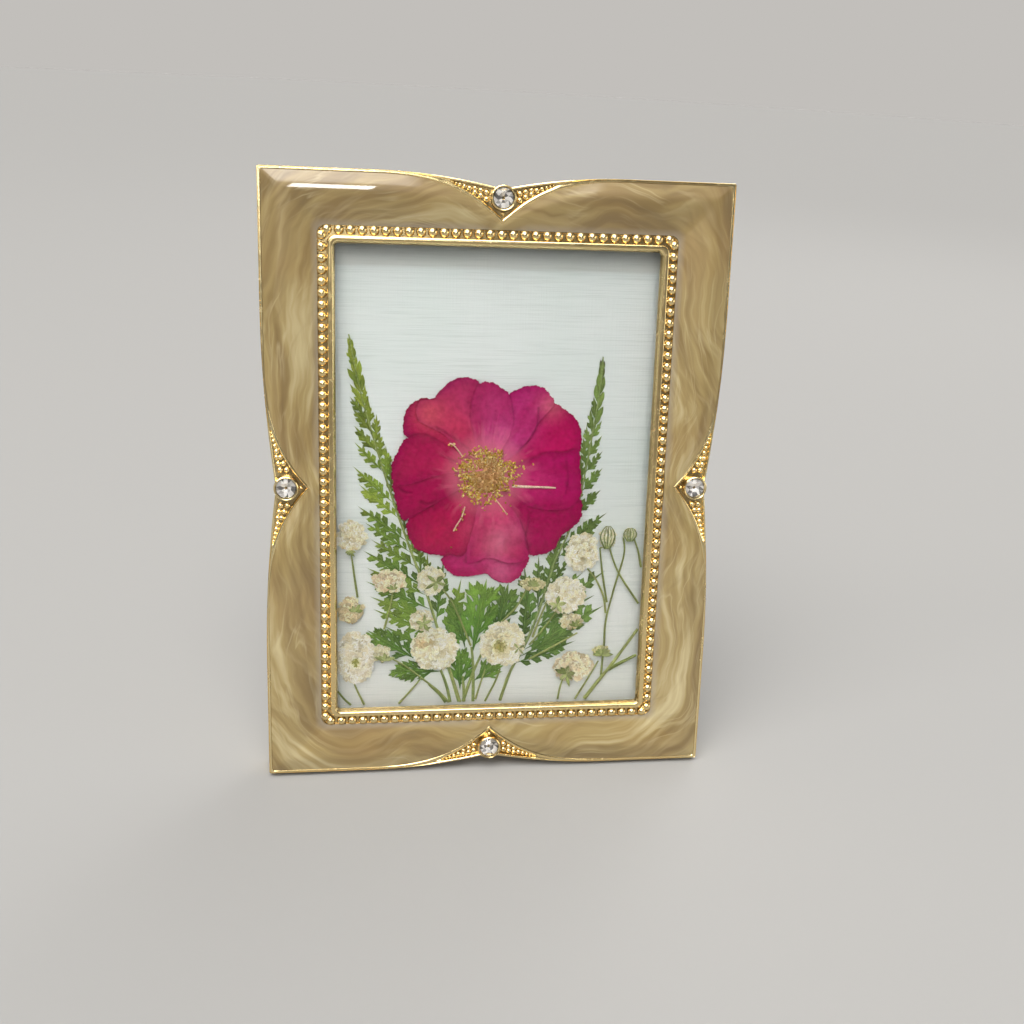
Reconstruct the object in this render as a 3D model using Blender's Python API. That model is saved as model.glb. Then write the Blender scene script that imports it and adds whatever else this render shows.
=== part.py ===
"""Pressed flower frame: a cast, enamelled photo frame that holds a pressed rose, ferns and small
white flowers behind glass, and leans back on a hinged easel leg.

Every piece is modelled lying in the frame's own plan, in millimetres: x to the right, z up the
frame, y behind the plane of the front rim. One empty leans the whole frame back, and a second one,
on the hinge's axis, swings the leg. World units are metres, +Z up, and the front faces -Y.
"""

import math

import bmesh
import bpy
from mathutils import Matrix, Vector
from mathutils.geometry import delaunay_2d_cdt

MM = 0.001

# Driving dimensions, in millimetres
FRAME_WIDTH = 115.0
FRAME_HEIGHT = 152.0
CASTING_DEPTH = 8.2
SIGHT_WIDTH = 80.6
SIGHT_HEIGHT = 120.4
RIM = 0.8
LEAN_DEG = 10.0
LEG_OPEN_DEG = 24.0
PIN_UP_THE_FRAME = 24.0

HALF_WIDTH = FRAME_WIDTH / 2
HALF_HEIGHT = FRAME_HEIGHT / 2
LIP_HALF = (SIGHT_WIDTH / 2, SIGHT_HEIGHT / 2)

# Each side of the frame dips towards an accent at its middle: reach along the side, dip, power
OUTLINE_TOP = (30.0, 3.3, 2.0)
OUTLINE_SIDE = (45.0, 3.0, 2.0)
ENAMEL_TOP = (32.0, 10.6, 2.8)
ENAMEL_SIDE = (36.0, 10.5, 3.1)
TOP_STATIONS = (0.0, 3.0, 6.5, 10.5, 15.5, 22.0, 32.0)
SIDE_STATIONS = (44.0, 31.0, 22.5, 15.5, 10.0, 6.0, 2.5, 0.0)
CORNER_STEPS = 2

# Depths behind the plane of the front rim
BEVEL_DEPTH = 1.25
LIP_BACK = 1.8
LIP_SLOPE = 1.2
BEAD_FLOOR = 1.3
RIDGE_TOP = 0.85
ARM_FLOOR = 0.55
POCKET_FLOOR = 1.6
PANE_FRONT = 1.95
PANE_THICK = 1.2
PRESSED_GAP = 1.75
SILK_FRONT = PANE_FRONT + PANE_THICK + PRESSED_GAP
SILK_CARD_THICK = 0.7
BACKBOARD_FRONT = SILK_FRONT + SILK_CARD_THICK + 0.1
BACKBOARD_THICK = 1.7
BACKBOARD_BACK = BACKBOARD_FRONT + BACKBOARD_THICK
FOOT_CUT = 0.25

# Rings between the sight edge and the enamel, measured out from the lip
BEAD_RING = (1.0, 3.45)
ENAMEL_INNER = 3.7
REBATE = 4.0
PANE_EDGE = 3.85

BEAD_PITCH = 2.73
BEAD_RADIUS = 0.98
BEAD_SIDES = 6
NUB_SIDES = 5

CRYSTAL_RADIUS = 2.45
BEZEL_RADIUS = 3.05
ACCENT_TOP = (0.0, 70.6)
ACCENT_SIDE = (52.0, 0.0)

# Layers in the pressed gap, as heights in front of the silk
LEAF_THICK = 0.12
LAYER_PITCH = 0.2
FERN_LAYER = 0.08
LEAF_LAYER = FERN_LAYER + LAYER_PITCH
LOW_LEAF_THICK = 0.08
LOW_LEAF_PITCH = 0.1
STEM_LAYER = LEAF_LAYER + LAYER_PITCH
PETAL_LAYER = STEM_LAYER
STAMEN_LAYER = PETAL_LAYER + 4 * LAYER_PITCH
STEM_THICK = 0.22
STEM_PITCH = 0.28
BLOOM_TOP = 1.5

GOLD = (0.76, 0.47, 0.16, 1.0)
ENAMEL = (0.4, 0.28, 0.14, 1.0)
CLEAR = (0.9, 0.95, 0.95, 1.0)
SILK = (0.6, 0.65, 0.6, 1.0)
VELVET = (0.02, 0.02, 0.022, 1.0)
STEEL = (0.45, 0.44, 0.42, 1.0)
FERN_GREEN = (0.09, 0.18, 0.03, 1.0)
LEAF_GREEN = (0.06, 0.14, 0.03, 1.0)
STAMEN_GOLD = (0.4, 0.25, 0.07, 1.0)
CREAM = (0.72, 0.64, 0.44, 1.0)
BUD_GREEN = (0.35, 0.4, 0.18, 1.0)


def clear_scene():
    """Remove every object of the startup scene."""
    for item in list(bpy.data.objects):
        bpy.data.objects.remove(item, do_unlink=True)


def surface(name, colour, roughness=0.5, metallic=0.0):
    """A plain Principled material, made once for each name."""
    found = bpy.data.materials.get(name)
    if found:
        return found
    made = bpy.data.materials.new(name)
    made.use_nodes = True
    shader = made.node_tree.nodes["Principled BSDF"]
    shader.inputs["Base Color"].default_value = colour
    shader.inputs["Roughness"].default_value = roughness
    shader.inputs["Metallic"].default_value = metallic
    return made


def finish(bm, name, material, parent, smooth=False):
    """Turn a millimetre bmesh into a named object in metres under its empty."""
    bmesh.ops.recalc_face_normals(bm, faces=bm.faces)
    bm.transform(Matrix.Scale(MM, 4))
    mesh = bpy.data.meshes.new(name)
    bm.to_mesh(mesh)
    bm.free()
    if smooth:
        mesh.shade_smooth()
        mesh.set_sharp_from_angle(angle=math.radians(35))
    made = bpy.data.objects.new(name, mesh)
    bpy.context.scene.collection.objects.link(made)
    made.data.materials.append(material)
    made.parent = parent
    return made


def cut_or_join(target, tool, operation):
    """Add an exact Boolean of one helper object to a piece, and hide the helper."""
    tool.hide_render = True
    tool.display_type = "WIRE"
    step = target.modifiers.new(tool.name, "BOOLEAN")
    step.operation = operation
    step.solver = "EXACT"
    step.object = tool


def dip(distance, shape):
    """How far an edge sinks towards the accent, at a distance from the middle of the side."""
    reach, depth, power = shape
    return depth * max(0.0, 1.0 - distance / reach) ** power


def rim_top(x, inset=0.0):
    """Height of the outer outline along the top, less an inset."""
    return HALF_HEIGHT - inset - dip(x, OUTLINE_TOP)


def rim_side(z, inset=0.0):
    """Reach of the outer outline along the side, less an inset."""
    return HALF_WIDTH - inset - dip(z, OUTLINE_SIDE)


def enamel_top(x, inset=0.0):
    """Height of the enamel's outer edge along the top."""
    return HALF_HEIGHT - RIM - inset - dip(x, ENAMEL_TOP)


def enamel_side(z, inset=0.0):
    """Reach of the enamel's outer edge along the side."""
    return HALF_WIDTH - RIM - inset - dip(z, ENAMEL_SIDE)


def all_round(quarter):
    """Mirror a quarter outline, from the top middle to the right middle, into a closed loop."""
    right = quarter + [(x, -z) for x, z in reversed(quarter[:-1])]
    return right + [(-x, z) for x, z in reversed(right[1:-1])]


def corner_arc(x, z, radius):
    """Points of a quarter turn inside a top right corner."""
    turn = [math.pi / 2 * (1 - step / CORNER_STEPS) for step in range(CORNER_STEPS + 1)]
    return [(x - radius + radius * math.cos(a), z - radius + radius * math.sin(a)) for a in turn]


def shaped_loop(top, side, corner, radius):
    """A loop whose top and side follow two edge functions."""
    quarter = [(x, top(x)) for x in TOP_STATIONS]
    quarter += corner_arc(*corner, radius)
    quarter += [(side(z), z) for z in SIDE_STATIONS]
    return all_round(quarter)


def outline_loop():
    """The casting's outer outline."""
    return shaped_loop(rim_top, rim_side, (HALF_WIDTH, HALF_HEIGHT), 0.5)


def enamel_loop(inset=0.0):
    """The enamel's outer edge, set in by an amount."""
    corner = (HALF_WIDTH - RIM - inset, HALF_HEIGHT - RIM - inset)
    return shaped_loop(
        lambda x: enamel_top(x, inset), lambda z: enamel_side(z, inset), corner, 0.6
    )


def lip_loop(out, radius=2.0):
    """A rounded rectangle a set distance outside the sight edge, with the outline's stations."""
    width, height = LIP_HALF[0] + out, LIP_HALF[1] + out
    along = (width - radius) / HALF_WIDTH
    up = (height - radius) / HALF_HEIGHT
    quarter = [(x * along, height) for x in TOP_STATIONS]
    quarter += corner_arc(width, height, radius)
    quarter += [(width, z * up) for z in SIDE_STATIONS]
    return all_round(quarter)


def plain_loop(width, height, radius):
    """A rounded rectangle with no points along its sides."""
    corner = corner_arc(width, height, radius)
    right = corner + [(x, -z) for x, z in reversed(corner)]
    return right + [(-x, z) for x, z in reversed(right)]


def mixed(first, second, share):
    """A loop part of the way from one loop to another."""
    return [
        (a[0] + (b[0] - a[0]) * share, a[1] + (b[1] - a[1]) * share)
        for a, b in zip(first, second)
    ]


def ring_solid(levels):
    """A closed ring through loops of equal count, each given as (loop, depth)."""
    bm = bmesh.new()
    rings = [[bm.verts.new((x, depth, z)) for x, z in loop] for loop, depth in levels]
    for here, there in zip(rings, rings[1:] + rings[:1]):
        for index, corner in enumerate(here):
            after = (index + 1) % len(here)
            bm.faces.new((corner, here[after], there[after], there[index]))
    return bm


def stacked_solid(levels):
    """A capped solid through loops of equal count, each given as (loop, depth)."""
    bm = bmesh.new()
    rings = [[bm.verts.new((x, depth, z)) for x, z in loop] for loop, depth in levels]
    for here, there in zip(rings, rings[1:]):
        for index, corner in enumerate(here):
            after = (index + 1) % len(here)
            bm.faces.new((corner, here[after], there[after], there[index]))
    bm.faces.new(rings[0])
    bm.faces.new(rings[-1])
    return bm


def circle(centre, radius, sides, turn=0.0):
    """A regular polygon in plan."""
    step = 2 * math.pi / sides
    return [
        (centre[0] + radius * math.cos(turn + step * n), centre[1] + radius * math.sin(turn + step * n))
        for n in range(sides)
    ]


def studs(spots, sides, floor):
    """Separate faceted beads on a floor, each given as (centre, radius), sunk a little into it."""
    made = []
    for (x, z), radius in spots:
        bm = bmesh.new()
        height = radius + 0.2
        bmesh.ops.create_cone(bm, cap_ends=True, segments=sides, radius1=radius, radius2=0.0, depth=height)
        place = Matrix.Translation((x, floor + 0.2 - height / 2, z)) @ Matrix.Rotation(math.pi / 2, 4, "X")
        bm.transform(place)
        made.append(bm)
    return made


def bead_spots():
    """Centres of the beads that run round the sight edge."""
    middle = (BEAD_RING[0] + BEAD_RING[1]) / 2
    half_w, half_h = LIP_HALF[0] + middle, LIP_HALF[1] + middle
    corner = 1.6
    across = round(2 * (half_w - corner) / BEAD_PITCH)
    down = round(2 * (half_h - corner) / BEAD_PITCH)
    spots = []
    for n in range(across + 1):
        x = -half_w + corner + 2 * (half_w - corner) * n / across
        spots += [((x, half_h), BEAD_RADIUS), ((x, -half_h), BEAD_RADIUS)]
    for n in range(down + 1):
        z = -half_h + corner + 2 * (half_h - corner) * n / down
        spots += [((half_w, z), BEAD_RADIUS), ((-half_w, z), BEAD_RADIUS)]
    return spots


def top_arm_channel():
    """Plan of the sunk channel in the right arm of the top accent."""
    reach = (3.6, 6.0, 8.5, 11.0, 12.6)
    upper = [(x, rim_top(x, 0.75)) for x in reach]
    lower = [(x, enamel_top(x, -1.35)) for x in reach[:-1]]
    return upper + lower[::-1]


def side_arm_channel():
    """Plan of the sunk channel in the upper arm of the right accent."""
    reach = (3.6, 6.5, 9.5, 12.0, 14.3)
    outer = [(rim_side(z, 0.6), z) for z in reach]
    inner = [(enamel_side(z, -1.0), z) for z in reach[:-1]]
    return outer + inner[::-1]


def mirrored_four(outline):
    """One plan shape and its mirror images about both middle lines."""
    return [[(x * sx, z * sz) for x, z in outline] for sx in (1, -1) for sz in (1, -1)]


def arm_nubs():
    """Small beads along the middle of each arm's channel, smaller towards its tip."""
    spots = []
    for reach, radius in ((4.5, 0.8), (6.3, 0.72), (8.1, 0.62), (9.8, 0.5)):
        x, z = reach, (rim_top(reach, 0.75) + enamel_top(reach, -1.35)) / 2
        spots += [((x * sx, z * sz), radius) for sx in (1, -1) for sz in (1, -1)]
        reach *= 1.1
        x, z = (rim_side(reach, 0.6) + enamel_side(reach, -1.0)) / 2, reach
        spots += [((x * sx, z * sz), radius) for sx in (1, -1) for sz in (1, -1)]
    return spots


def accents():
    """Centres of the four crystals, with the way each faces out of the frame, in plan."""
    return {
        "top": ACCENT_TOP,
        "bottom": (ACCENT_TOP[0], -ACCENT_TOP[1]),
        "right": ACCENT_SIDE,
        "left": (-ACCENT_SIDE[0], ACCENT_SIDE[1]),
    }


def joined(parts):
    """Several bmeshes as one, with their shells kept apart."""
    whole = bmesh.new()
    for part in parts:
        mesh = bpy.data.meshes.new("part")
        bmesh.ops.recalc_face_normals(part, faces=part.faces)
        part.to_mesh(mesh)
        part.free()
        whole.from_mesh(mesh)
        bpy.data.meshes.remove(mesh)
    return whole


def frame_casting(root):
    """The gold-plated casting, with its enamel pocket, beads, arms, bezels and foot."""
    gold = surface("gold_plate", GOLD, 0.25, 1.0)
    body = stacked_solid([(outline_loop(), 0.0), (outline_loop(), CASTING_DEPTH)])
    casting = finish(body, "frame_casting", gold, root)
    cut_or_join(casting, finish(below_floor(), "cut_foot", gold, root), "DIFFERENCE")

    front = -5.0
    width, height = LIP_HALF
    pocket = stacked_solid([(enamel_loop(), POCKET_FLOOR), (enamel_loop(), front)])
    pocket = finish(pocket, "cut_pocket", gold, root)
    inner = plain_loop(width + ENAMEL_INNER, height + ENAMEL_INNER, 2.0)
    island = stacked_solid([(inner, POCKET_FLOOR + 1.0), (inner, front - 1.0)])
    cut_or_join(pocket, finish(island, "keep_island", gold, root), "DIFFERENCE")
    cut_or_join(casting, pocket, "DIFFERENCE")

    near, far = (plain_loop(width + out, height + out, 2.0) for out in BEAD_RING)
    past = plain_loop(width + ENAMEL_INNER + 0.3, height + ENAMEL_INNER + 0.3, 2.0)
    sunk = [
        (near, front), (near, BEAD_FLOOR), (far, BEAD_FLOOR), (far, RIDGE_TOP), (past, RIDGE_TOP), (past, front)
    ]
    cut_or_join(casting, finish(ring_solid(sunk), "cut_bead_channel", gold, root), "DIFFERENCE")

    behind = CASTING_DEPTH + 5.0
    sight = plain_loop(width - LIP_SLOPE, height - LIP_SLOPE, 1.2)
    rebate = plain_loop(width + REBATE, height + REBATE, 1.2)
    window = stacked_solid(
        [
            (plain_loop(width, height, 1.8), front),
            (plain_loop(width, height, 1.8), 0.0),
            (sight, BEVEL_DEPTH),
            (sight, LIP_BACK),
            (rebate, LIP_BACK),
            (rebate, behind),
        ]
    )
    cut_or_join(casting, finish(window, "cut_window", gold, root), "DIFFERENCE")

    channels = []
    for plan in (top_arm_channel(), side_arm_channel()):
        for outline in mirrored_four(plan):
            channels.append(stacked_solid([(outline, front), (outline, ARM_FLOOR)]))
    cut_or_join(casting, finish(joined(channels), "cut_arms", gold, root), "DIFFERENCE")

    beads = studs(bead_spots(), BEAD_SIDES, BEAD_FLOOR) + studs(arm_nubs(), NUB_SIDES, ARM_FLOOR)
    cut_or_join(casting, finish(joined(beads), "join_beads", gold, root), "UNION")

    cups, seats = [], []
    for centre in accents().values():
        wide, narrow = circle(centre, BEZEL_RADIUS, 14), circle(centre, BEZEL_RADIUS - 0.25, 14)
        cups.append(stacked_solid([(narrow, -0.75), (wide, -0.3), (wide, 3.2)]))
        mouth, floor = circle(centre, CRYSTAL_RADIUS + 0.12, 14), circle(centre, 0.9, 14)
        seats.append(stacked_solid([(mouth, front), (mouth, 0.3), (floor, 2.2)]))
    cut_or_join(casting, finish(joined(cups), "join_bezels", gold, root), "UNION")
    cut_or_join(casting, finish(joined(seats), "cut_seats", gold, root), "DIFFERENCE")

    lugs = []
    for side in (-1, 1):
        for z in (-42.0, 42.0):
            inner, outer = side * (width + REBATE - 3.0), side * (width + REBATE + 0.6)
            plan = [(inner, z - 4), (outer, z - 4), (outer, z + 4), (inner, z + 4)]
            lugs.append(stacked_solid([(plan, BACKBOARD_BACK + 0.12), (plan, CASTING_DEPTH - 0.1)]))
    cut_or_join(casting, finish(joined(lugs), "join_lugs", gold, root), "UNION")
    return casting


def below_floor():
    """A block under the floor line, which grinds a narrow flat foot along the rear bottom edge."""
    lean = math.radians(LEAN_DEG)
    up = Vector((0.0, -math.sin(lean), math.cos(lean)))
    corner = Vector((0.0, CASTING_DEPTH, -HALF_HEIGHT))
    size = Matrix.Diagonal((2 * FRAME_WIDTH, 30.0, 10.0, 1.0))
    bm = bmesh.new()
    bmesh.ops.create_cube(bm, size=1.0)
    bm.transform(Matrix.Translation(corner + up * (FOOT_CUT - 5.0)) @ Matrix.Rotation(lean, 4, "X") @ size)
    return bm


def enamel_inlay(root):
    """The poured enamel, a pillowed ring in the casting's pocket."""
    gap = 0.06
    outer, inner = enamel_loop(gap), lip_loop(ENAMEL_INNER + gap)
    under, edge = POCKET_FLOOR - gap, 0.12
    levels = [
        (outer, under),
        (outer, edge),
        (mixed(outer, inner, 0.16), -0.4),
        (mixed(outer, inner, 0.6), -0.35),
        (inner, RIDGE_TOP + 0.05),
        (inner, under),
    ]
    cream = surface("pearl_enamel", ENAMEL, 0.15)
    return finish(ring_solid(levels), "enamel_inlay", cream, root, smooth=True)


def crystal(name, centre, root):
    """A round cut stone: table, crown facets, girdle and a pointed back."""
    levels = [
        (circle(centre, 1.25, 8), -1.05),
        (circle(centre, 1.95, 8, math.pi / 8), -0.75),
        (circle(centre, CRYSTAL_RADIUS, 8), -0.2),
        (circle(centre, CRYSTAL_RADIUS, 8), -0.05),
        (circle(centre, 0.45, 8), 1.25),
    ]
    return finish(stacked_solid(levels), name, surface("cut_glass", CLEAR, 0.02), root)


def slab(name, half_width, half_height, front, back, material, root, radius=0.8):
    """A flat sheet with rounded corners, between two depths."""
    loop = plain_loop(half_width, half_height, radius)
    return finish(stacked_solid([(loop, front), (loop, back)]), name, material, root)


def smooth_path(points, steps, closed=False):
    """A Catmull-Rom curve through points in plan."""
    count = len(points)
    spans = count if closed else count - 1
    made = []
    for n in range(spans):
        if closed:
            p0, p1, p2, p3 = (Vector(points[(n + k) % count]) for k in (-1, 0, 1, 2))
        else:
            p0, p1, p2, p3 = (Vector(points[min(max(n + k, 0), count - 1)]) for k in (-1, 0, 1, 2))
        for step in range(steps):
            t = step / steps
            pull = (p2 - p0) * t + (2 * p0 - 5 * p1 + 4 * p2 - p3) * t**2
            made.append(p1 + 0.5 * (pull + (3 * p1 - p0 - 3 * p2 + p3) * t**3))
    if not closed:
        made.append(Vector(points[-1]))
    return made


def anticlockwise(outline):
    """The outline, turned to run anticlockwise."""
    area = sum(
        a[0] * b[1] - b[0] * a[1] for a, b in zip(outline, list(outline[1:]) + [outline[0]])
    )
    return list(outline) if area > 0 else list(reversed(outline))


def pressed_solid(outlines, low, thick, raised=(), raise_by=0.0):
    """Outlines merged in plan and given a thickness, low being the height above the silk.

    The outlines whose index is in raised stand higher, behind a sloping edge.
    """
    points, faces = [], []
    for outline in outlines:
        start = len(points)
        points += [Vector(point) for point in anticlockwise(outline)]
        faces.append(list(range(start, len(points))))
    spots, _, cells, _, _, sources = delaunay_2d_cdt(points, [], faces, 1, 1e-4)
    bm = bmesh.new()
    lifted = bm.faces.layers.int.new("lifted")
    back = SILK_FRONT - low
    verts = [bm.verts.new((x, back, z)) for x, z in spots]
    for cell, source in zip(cells, sources):
        if source:
            face = bm.faces.new([verts[n] for n in cell])
            face[lifted] = any(n in raised for n in source)
    bmesh.ops.delete(bm, geom=[v for v in bm.verts if not v.link_faces], context="VERTS")
    grown = bmesh.ops.extrude_face_region(bm, geom=bm.faces[:])["geom"]
    front = [item for item in grown if isinstance(item, bmesh.types.BMVert)]
    bmesh.ops.translate(bm, verts=front, vec=(0.0, -thick, 0.0))
    bmesh.ops.recalc_face_normals(bm, faces=bm.faces)
    if raised:
        tops = [f for f in bm.faces if f[lifted] and f.normal.y < -0.5]
        bmesh.ops.inset_region(bm, faces=tops, thickness=0.45, depth=raise_by, use_even_offset=False)
    return bm


def ribbon(points, start_width, end_width, steps=2):
    """A stem's plan: a strip along a smooth path, with its widths at both ends."""
    path = smooth_path(points, steps)
    left, right = [], []
    for n, point in enumerate(path):
        ahead = path[min(n + 1, len(path) - 1)] - path[max(n - 1, 0)]
        across = Vector((-ahead.y, ahead.x)).normalized()
        half = (start_width + (end_width - start_width) * n / (len(path) - 1)) / 2
        left.append(point + across * half)
        right.append(point - across * half)
    return left + right[::-1]


def lobed_leaf(base, tip, width, lobes):
    """A leaflet from its base to its tip: plain, or with pointed lobes down both sides."""
    base, tip = Vector(base), Vector(tip)
    along = tip - base
    across = Vector((-along.y, along.x)).normalized() * width / 2
    if not lobes:
        return [base, base + along * 0.55 - across, tip, base + along * 0.55 + across]
    left, right = [], []
    for n in range(lobes):
        share = (n + 0.35) / (lobes + 0.6)
        swell = math.sin(math.pi * (0.2 + 0.62 * share))
        for side, edge in ((1, left), (-1, right)):
            inner = base + along * share + across * side * 0.3 * swell
            outer = base + along * (share + 0.85 / (lobes + 0.6)) + across * side * swell
            edge += [inner, outer]
    return [base - across * 0.12] + right + [tip] + left[::-1] + [base + across * 0.12]


# The rose's petals: (layer, outline in plan), from the back layer to the front
PETALS = {
    "rose_petal_back_left": (
        0,
        [(-6, 7), (-15, 9), (-22.3, 12.2), (-23.2, 16), (-22.2, 19.5), (-20, 21.4), (-17, 21.9), (-12, 17)],
    ),
    "rose_petal_back_right": (
        0,
        [(3.5, 5.2), (13, 7.5), (21.3, 10), (22.3, 13), (20.8, 17), (17.6, 19.6), (14.5, 21), (10.5, 17)],
    ),
    "rose_petal_back_bottom": (
        0,
        [(-3.5, -9), (-9, -15), (-13, -19.5), (-11.6, -22.6), (-9, -24.2), (-5, -24.2), (-1.5, -23.7),
         (0.8, -25.4), (4, -26.3), (7, -25), (8.8, -22), (9.6, -19.5), (6, -14)],
    ),
    "rose_petal_top_left": (
        1,
        [(-5.4, 7), (-13, 12.8), (-19.4, 16.5), (-19.5, 21), (-15.7, 22.1), (-14.8, 23.3), (-11.5, 26.4),
         (-7.8, 27.4), (-4.2, 25.6), (-3.2, 17)],
    ),
    "rose_petal_top_right": (
        1,
        [(1, 7.2), (4.2, 12), (2.2, 21), (3.1, 23.2), (7.6, 25.4), (11.6, 25.2), (13.6, 23.4), (14.9, 20.8),
         (11.4, 16.5), (6.5, 9)],
    ),
    "rose_petal_low_right": (
        1,
        [(2.4, -2.2), (11, -3), (21.5, -2.5), (23.3, -7.2), (22.2, -10.2), (18, -13.8), (16.2, -17.2),
         (11.5, -18.8), (8, -17.4), (5.6, -10)],
    ),
    "rose_petal_low_left": (
        1,
        [(-5.6, -1.5), (-14, -4), (-21.3, -8.4), (-22, -12.2), (-19.4, -16.9), (-13.4, -18.6), (-10.8, -18.3),
         (-8, -18.7), (-5.4, -15.5), (-4, -8)],
    ),
    "rose_petal_top": (
        2,
        [(-4, 7.6), (-6.4, 17), (-4.9, 25.2), (-1.4, 26.3), (1.2, 24.9), (3.4, 22.8), (4.4, 15), (0.6, 7.6)],
    ),
    "rose_petal_right": (
        2,
        [(3.2, 3), (7.2, 5.8), (12.4, 8.3), (17.5, 8.6), (21.5, 9.2), (22.3, 4), (22.7, -2.5), (20, -6),
         (14.5, -6.7), (8, -5), (3.3, -1.6)],
    ),
    "rose_petal_bottom": (
        2,
        [(-2.8, -2.4), (-5, -10), (-6.8, -19.8), (-4, -20.4), (-1.5, -19.4), (1, -19.7), (3.2, -20.6),
         (6.4, -20.8), (9.4, -19.2), (8.4, -13), (5.6, -7), (1.3, -2.4)],
    ),
    "rose_petal_left": (
        2,
        [(-6.9, 0.2), (-13, -3.6), (-21.4, -8.6), (-23.6, -8.5), (-25, -4), (-25.5, 1), (-20.5, 2.2), (-7.2, 3)],
    ),
    "rose_petal_high_left": (
        3,
        [(-6.7, 5), (-13.5, 2.8), (-21.4, 0.2), (-25.4, 0.4), (-26.1, 5), (-24.6, 8.6), (-22.4, 12),
         (-16.5, 12.6), (-6, 7.2)],
    ),
}

ROSE_HEART = (-2.0, 2.6)

# Ferns: midrib points from tip to foot, then (distance from the tip, length) of the leaflets
LEFT_FERN = {
    "midrib": [(-36.6, 37.5), (-35.2, 30), (-33.4, 22), (-31.2, 14), (-28.8, 6), (-26.3, -2), (-23.6, -10),
               (-20.8, -18), (-17.8, -26), (-14.6, -36), (-11.8, -46), (-9.4, -54), (-7.9, -59.6)],
    "left": [(3.5, 2.0), (7.5, 2.6), (11.5, 3.3), (15.5, 4.2), (19.5, 5.0), (24, 6.0), (29, 7.4), (36, 9.4),
             (44, 11.6), (53, 12.6), (62, 13.2), (71, 12.8)],
    "right": [(4.5, 1.8), (8.5, 2.4), (12.5, 3.2), (16.5, 4.0), (21, 5.2), (26, 6.2), (32, 6.8), (39, 7.2),
              (47, 7.4), (56, 7.6), (65, 8.4)],
}
RIGHT_FERN = {
    "midrib": [(27.1, 33), (26.8, 26), (25.9, 18), (24.8, 10), (23.6, 2), (22.2, -6), (20, -13), (17, -20),
               (14.9, -27), (13, -34), (10.6, -41), (8.4, -46), (5.8, -51), (3.2, -59.6)],
    "left": [(6, 1.6), (10, 2.4), (14, 3.4), (18.5, 4.4), (23, 5.0), (28, 5.4), (33, 5.6), (49, 6.0),
             (58, 7.6), (67, 7.6)],
    "right": [(7, 1.8), (11, 2.8), (15, 3.8), (19.5, 4.8), (24.5, 5.6), (30, 6.2), (36, 6.6), (42, 8.4),
              (61, 15.0), (69, 15.6), (77, 19.5), (83, 15.0)],
}

# Lobed leaves low in the spray: (level, base, tip, width, lobes on a side)
LOW_LEAVES = {
    "leaf_centre_tall": (1, (-4.6, -46), (-2.4, -25.2), 8.6, 3),
    "leaf_centre_narrow": (0, (-6.4, -44.5), (-9, -30), 4.4, 3),
    "leaf_centre_dark": (0, (1.6, -42), (4.2, -26.6), 8.4, 3),
    "leaf_low_middle": (0, (-7.6, -56), (-8.2, -43.6), 5.2, 2),
    "leaf_low_right": (0, (-4, -53.5), (2.6, -47.6), 3.6, 2),
    "leaf_left_long": (0, (-19.4, -47), (-32, -39), 5.4, 3),
    "leaf_left_low": (0, (-12.6, -50.5), (-26.6, -50), 3.8, 3),
}

# White flowers and buds: level, bloom (centre, width, height) or none, then stems as point lists
WHITE_FLOWERS = {
    "white_flower_left_edge": (0, (-36.4, -13.8, 7.4, 8.4), [[(-36.2, -17), (-35.4, -24), (-34.6, -29.6)]]),
    "white_flower_left_cup": (0, (-26.5, -25.6, 9.4, 6.6), [[(-25.6, -28), (-26.4, -33), (-27.8, -38.4)]]),
    "white_flower_half_open": (0, (-15.8, -25.3, 7.2, 8.0), [[(-13.6, -26.6), (-9.8, -32), (-5, -43.4)]]),
    "white_flower_left_low": (0, (-36.6, -33.7, 6.8, 7.2), []),
    "white_flower_left_loose": (0, (-35.2, -46, 9.2, 14.0), [[(-36, -52), (-34.4, -56), (-32.9, -59.6)]]),
    "white_flower_tucked": (0, (-18.2, -36.0, 5.8, 4.6), []),
    "white_flower_large": (0, (-14.6, -44.0, 12.4, 11.2), []),
    "white_bud_left": (
        0,
        (-28.2, -46, 4.6, 6.0),
        [[(-27.6, -45.6), (-22.6, -48.4), (-17.6, -52.4), (-13.4, -56), (-10.6, -59.6)],
         [(-17.9, -52), (-20.6, -55.4), (-23.9, -59.6)]],
    ),
    "white_flower_right_top": (0, (23.8, -18, 8.2, 10.4), [[(25.5, -22.6), (28, -25.8), (30.2, -30.4), (31, -35)]]),
    "white_flower_right_middle": (0, (19.8, -30.1, 9.6, 9.8), [[(18.4, -33), (14.8, -38.4), (10.6, -43.6)]]),
    "white_flower_right_tucked": (0, (21.4, -37.9, 6.4, 3.6), [[(22.8, -39.4), (18, -43), (11, -46)]]),
    "white_flower_centre": (0, (3.4, -43, 11.6, 12.4), [[(4.6, -48), (3.4, -53), (-0.9, -59.6)]]),
    "white_flower_low_right": (0, (22.5, -50.3, 10.4, 8.2), [[(20.2, -53), (19.4, -56), (18.9, -59.6)]]),
    "white_bud_under_rose": (0, (10.9, -26.9, 7.0, 3.0), [[(9.4, -28), (7, -32.6), (4, -36)]]),
    "green_bud_star": (1, (30.2, -46.7, 6.2, 4.6), [[(29.6, -48.4), (26.8, -53.6), (23.6, -59.6)]]),
    "green_bud_round": (1, (30.4, -14, 4.4, 6.2), [[(31, -16.6), (33.8, -23.6), (39.8, -32.4)]]),
    "green_bud_small": (
        0,
        (36.4, -13.3, 4.0, 3.2),
        [[(34.8, -14.2), (35.2, -19), (33, -28), (31.2, -37), (31, -44), (30.6, -52.6)],
         [(37.4, -13.8), (39, -18), (40, -22.4)]],
    ),
    "green_stem_right": (
        1,
        None,
        [[(26.2, -59.6), (30.4, -53.4), (33.4, -49.4), (40, -39.6)], [(32.4, -51), (36, -49), (40, -47)]],
    ),
}


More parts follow.
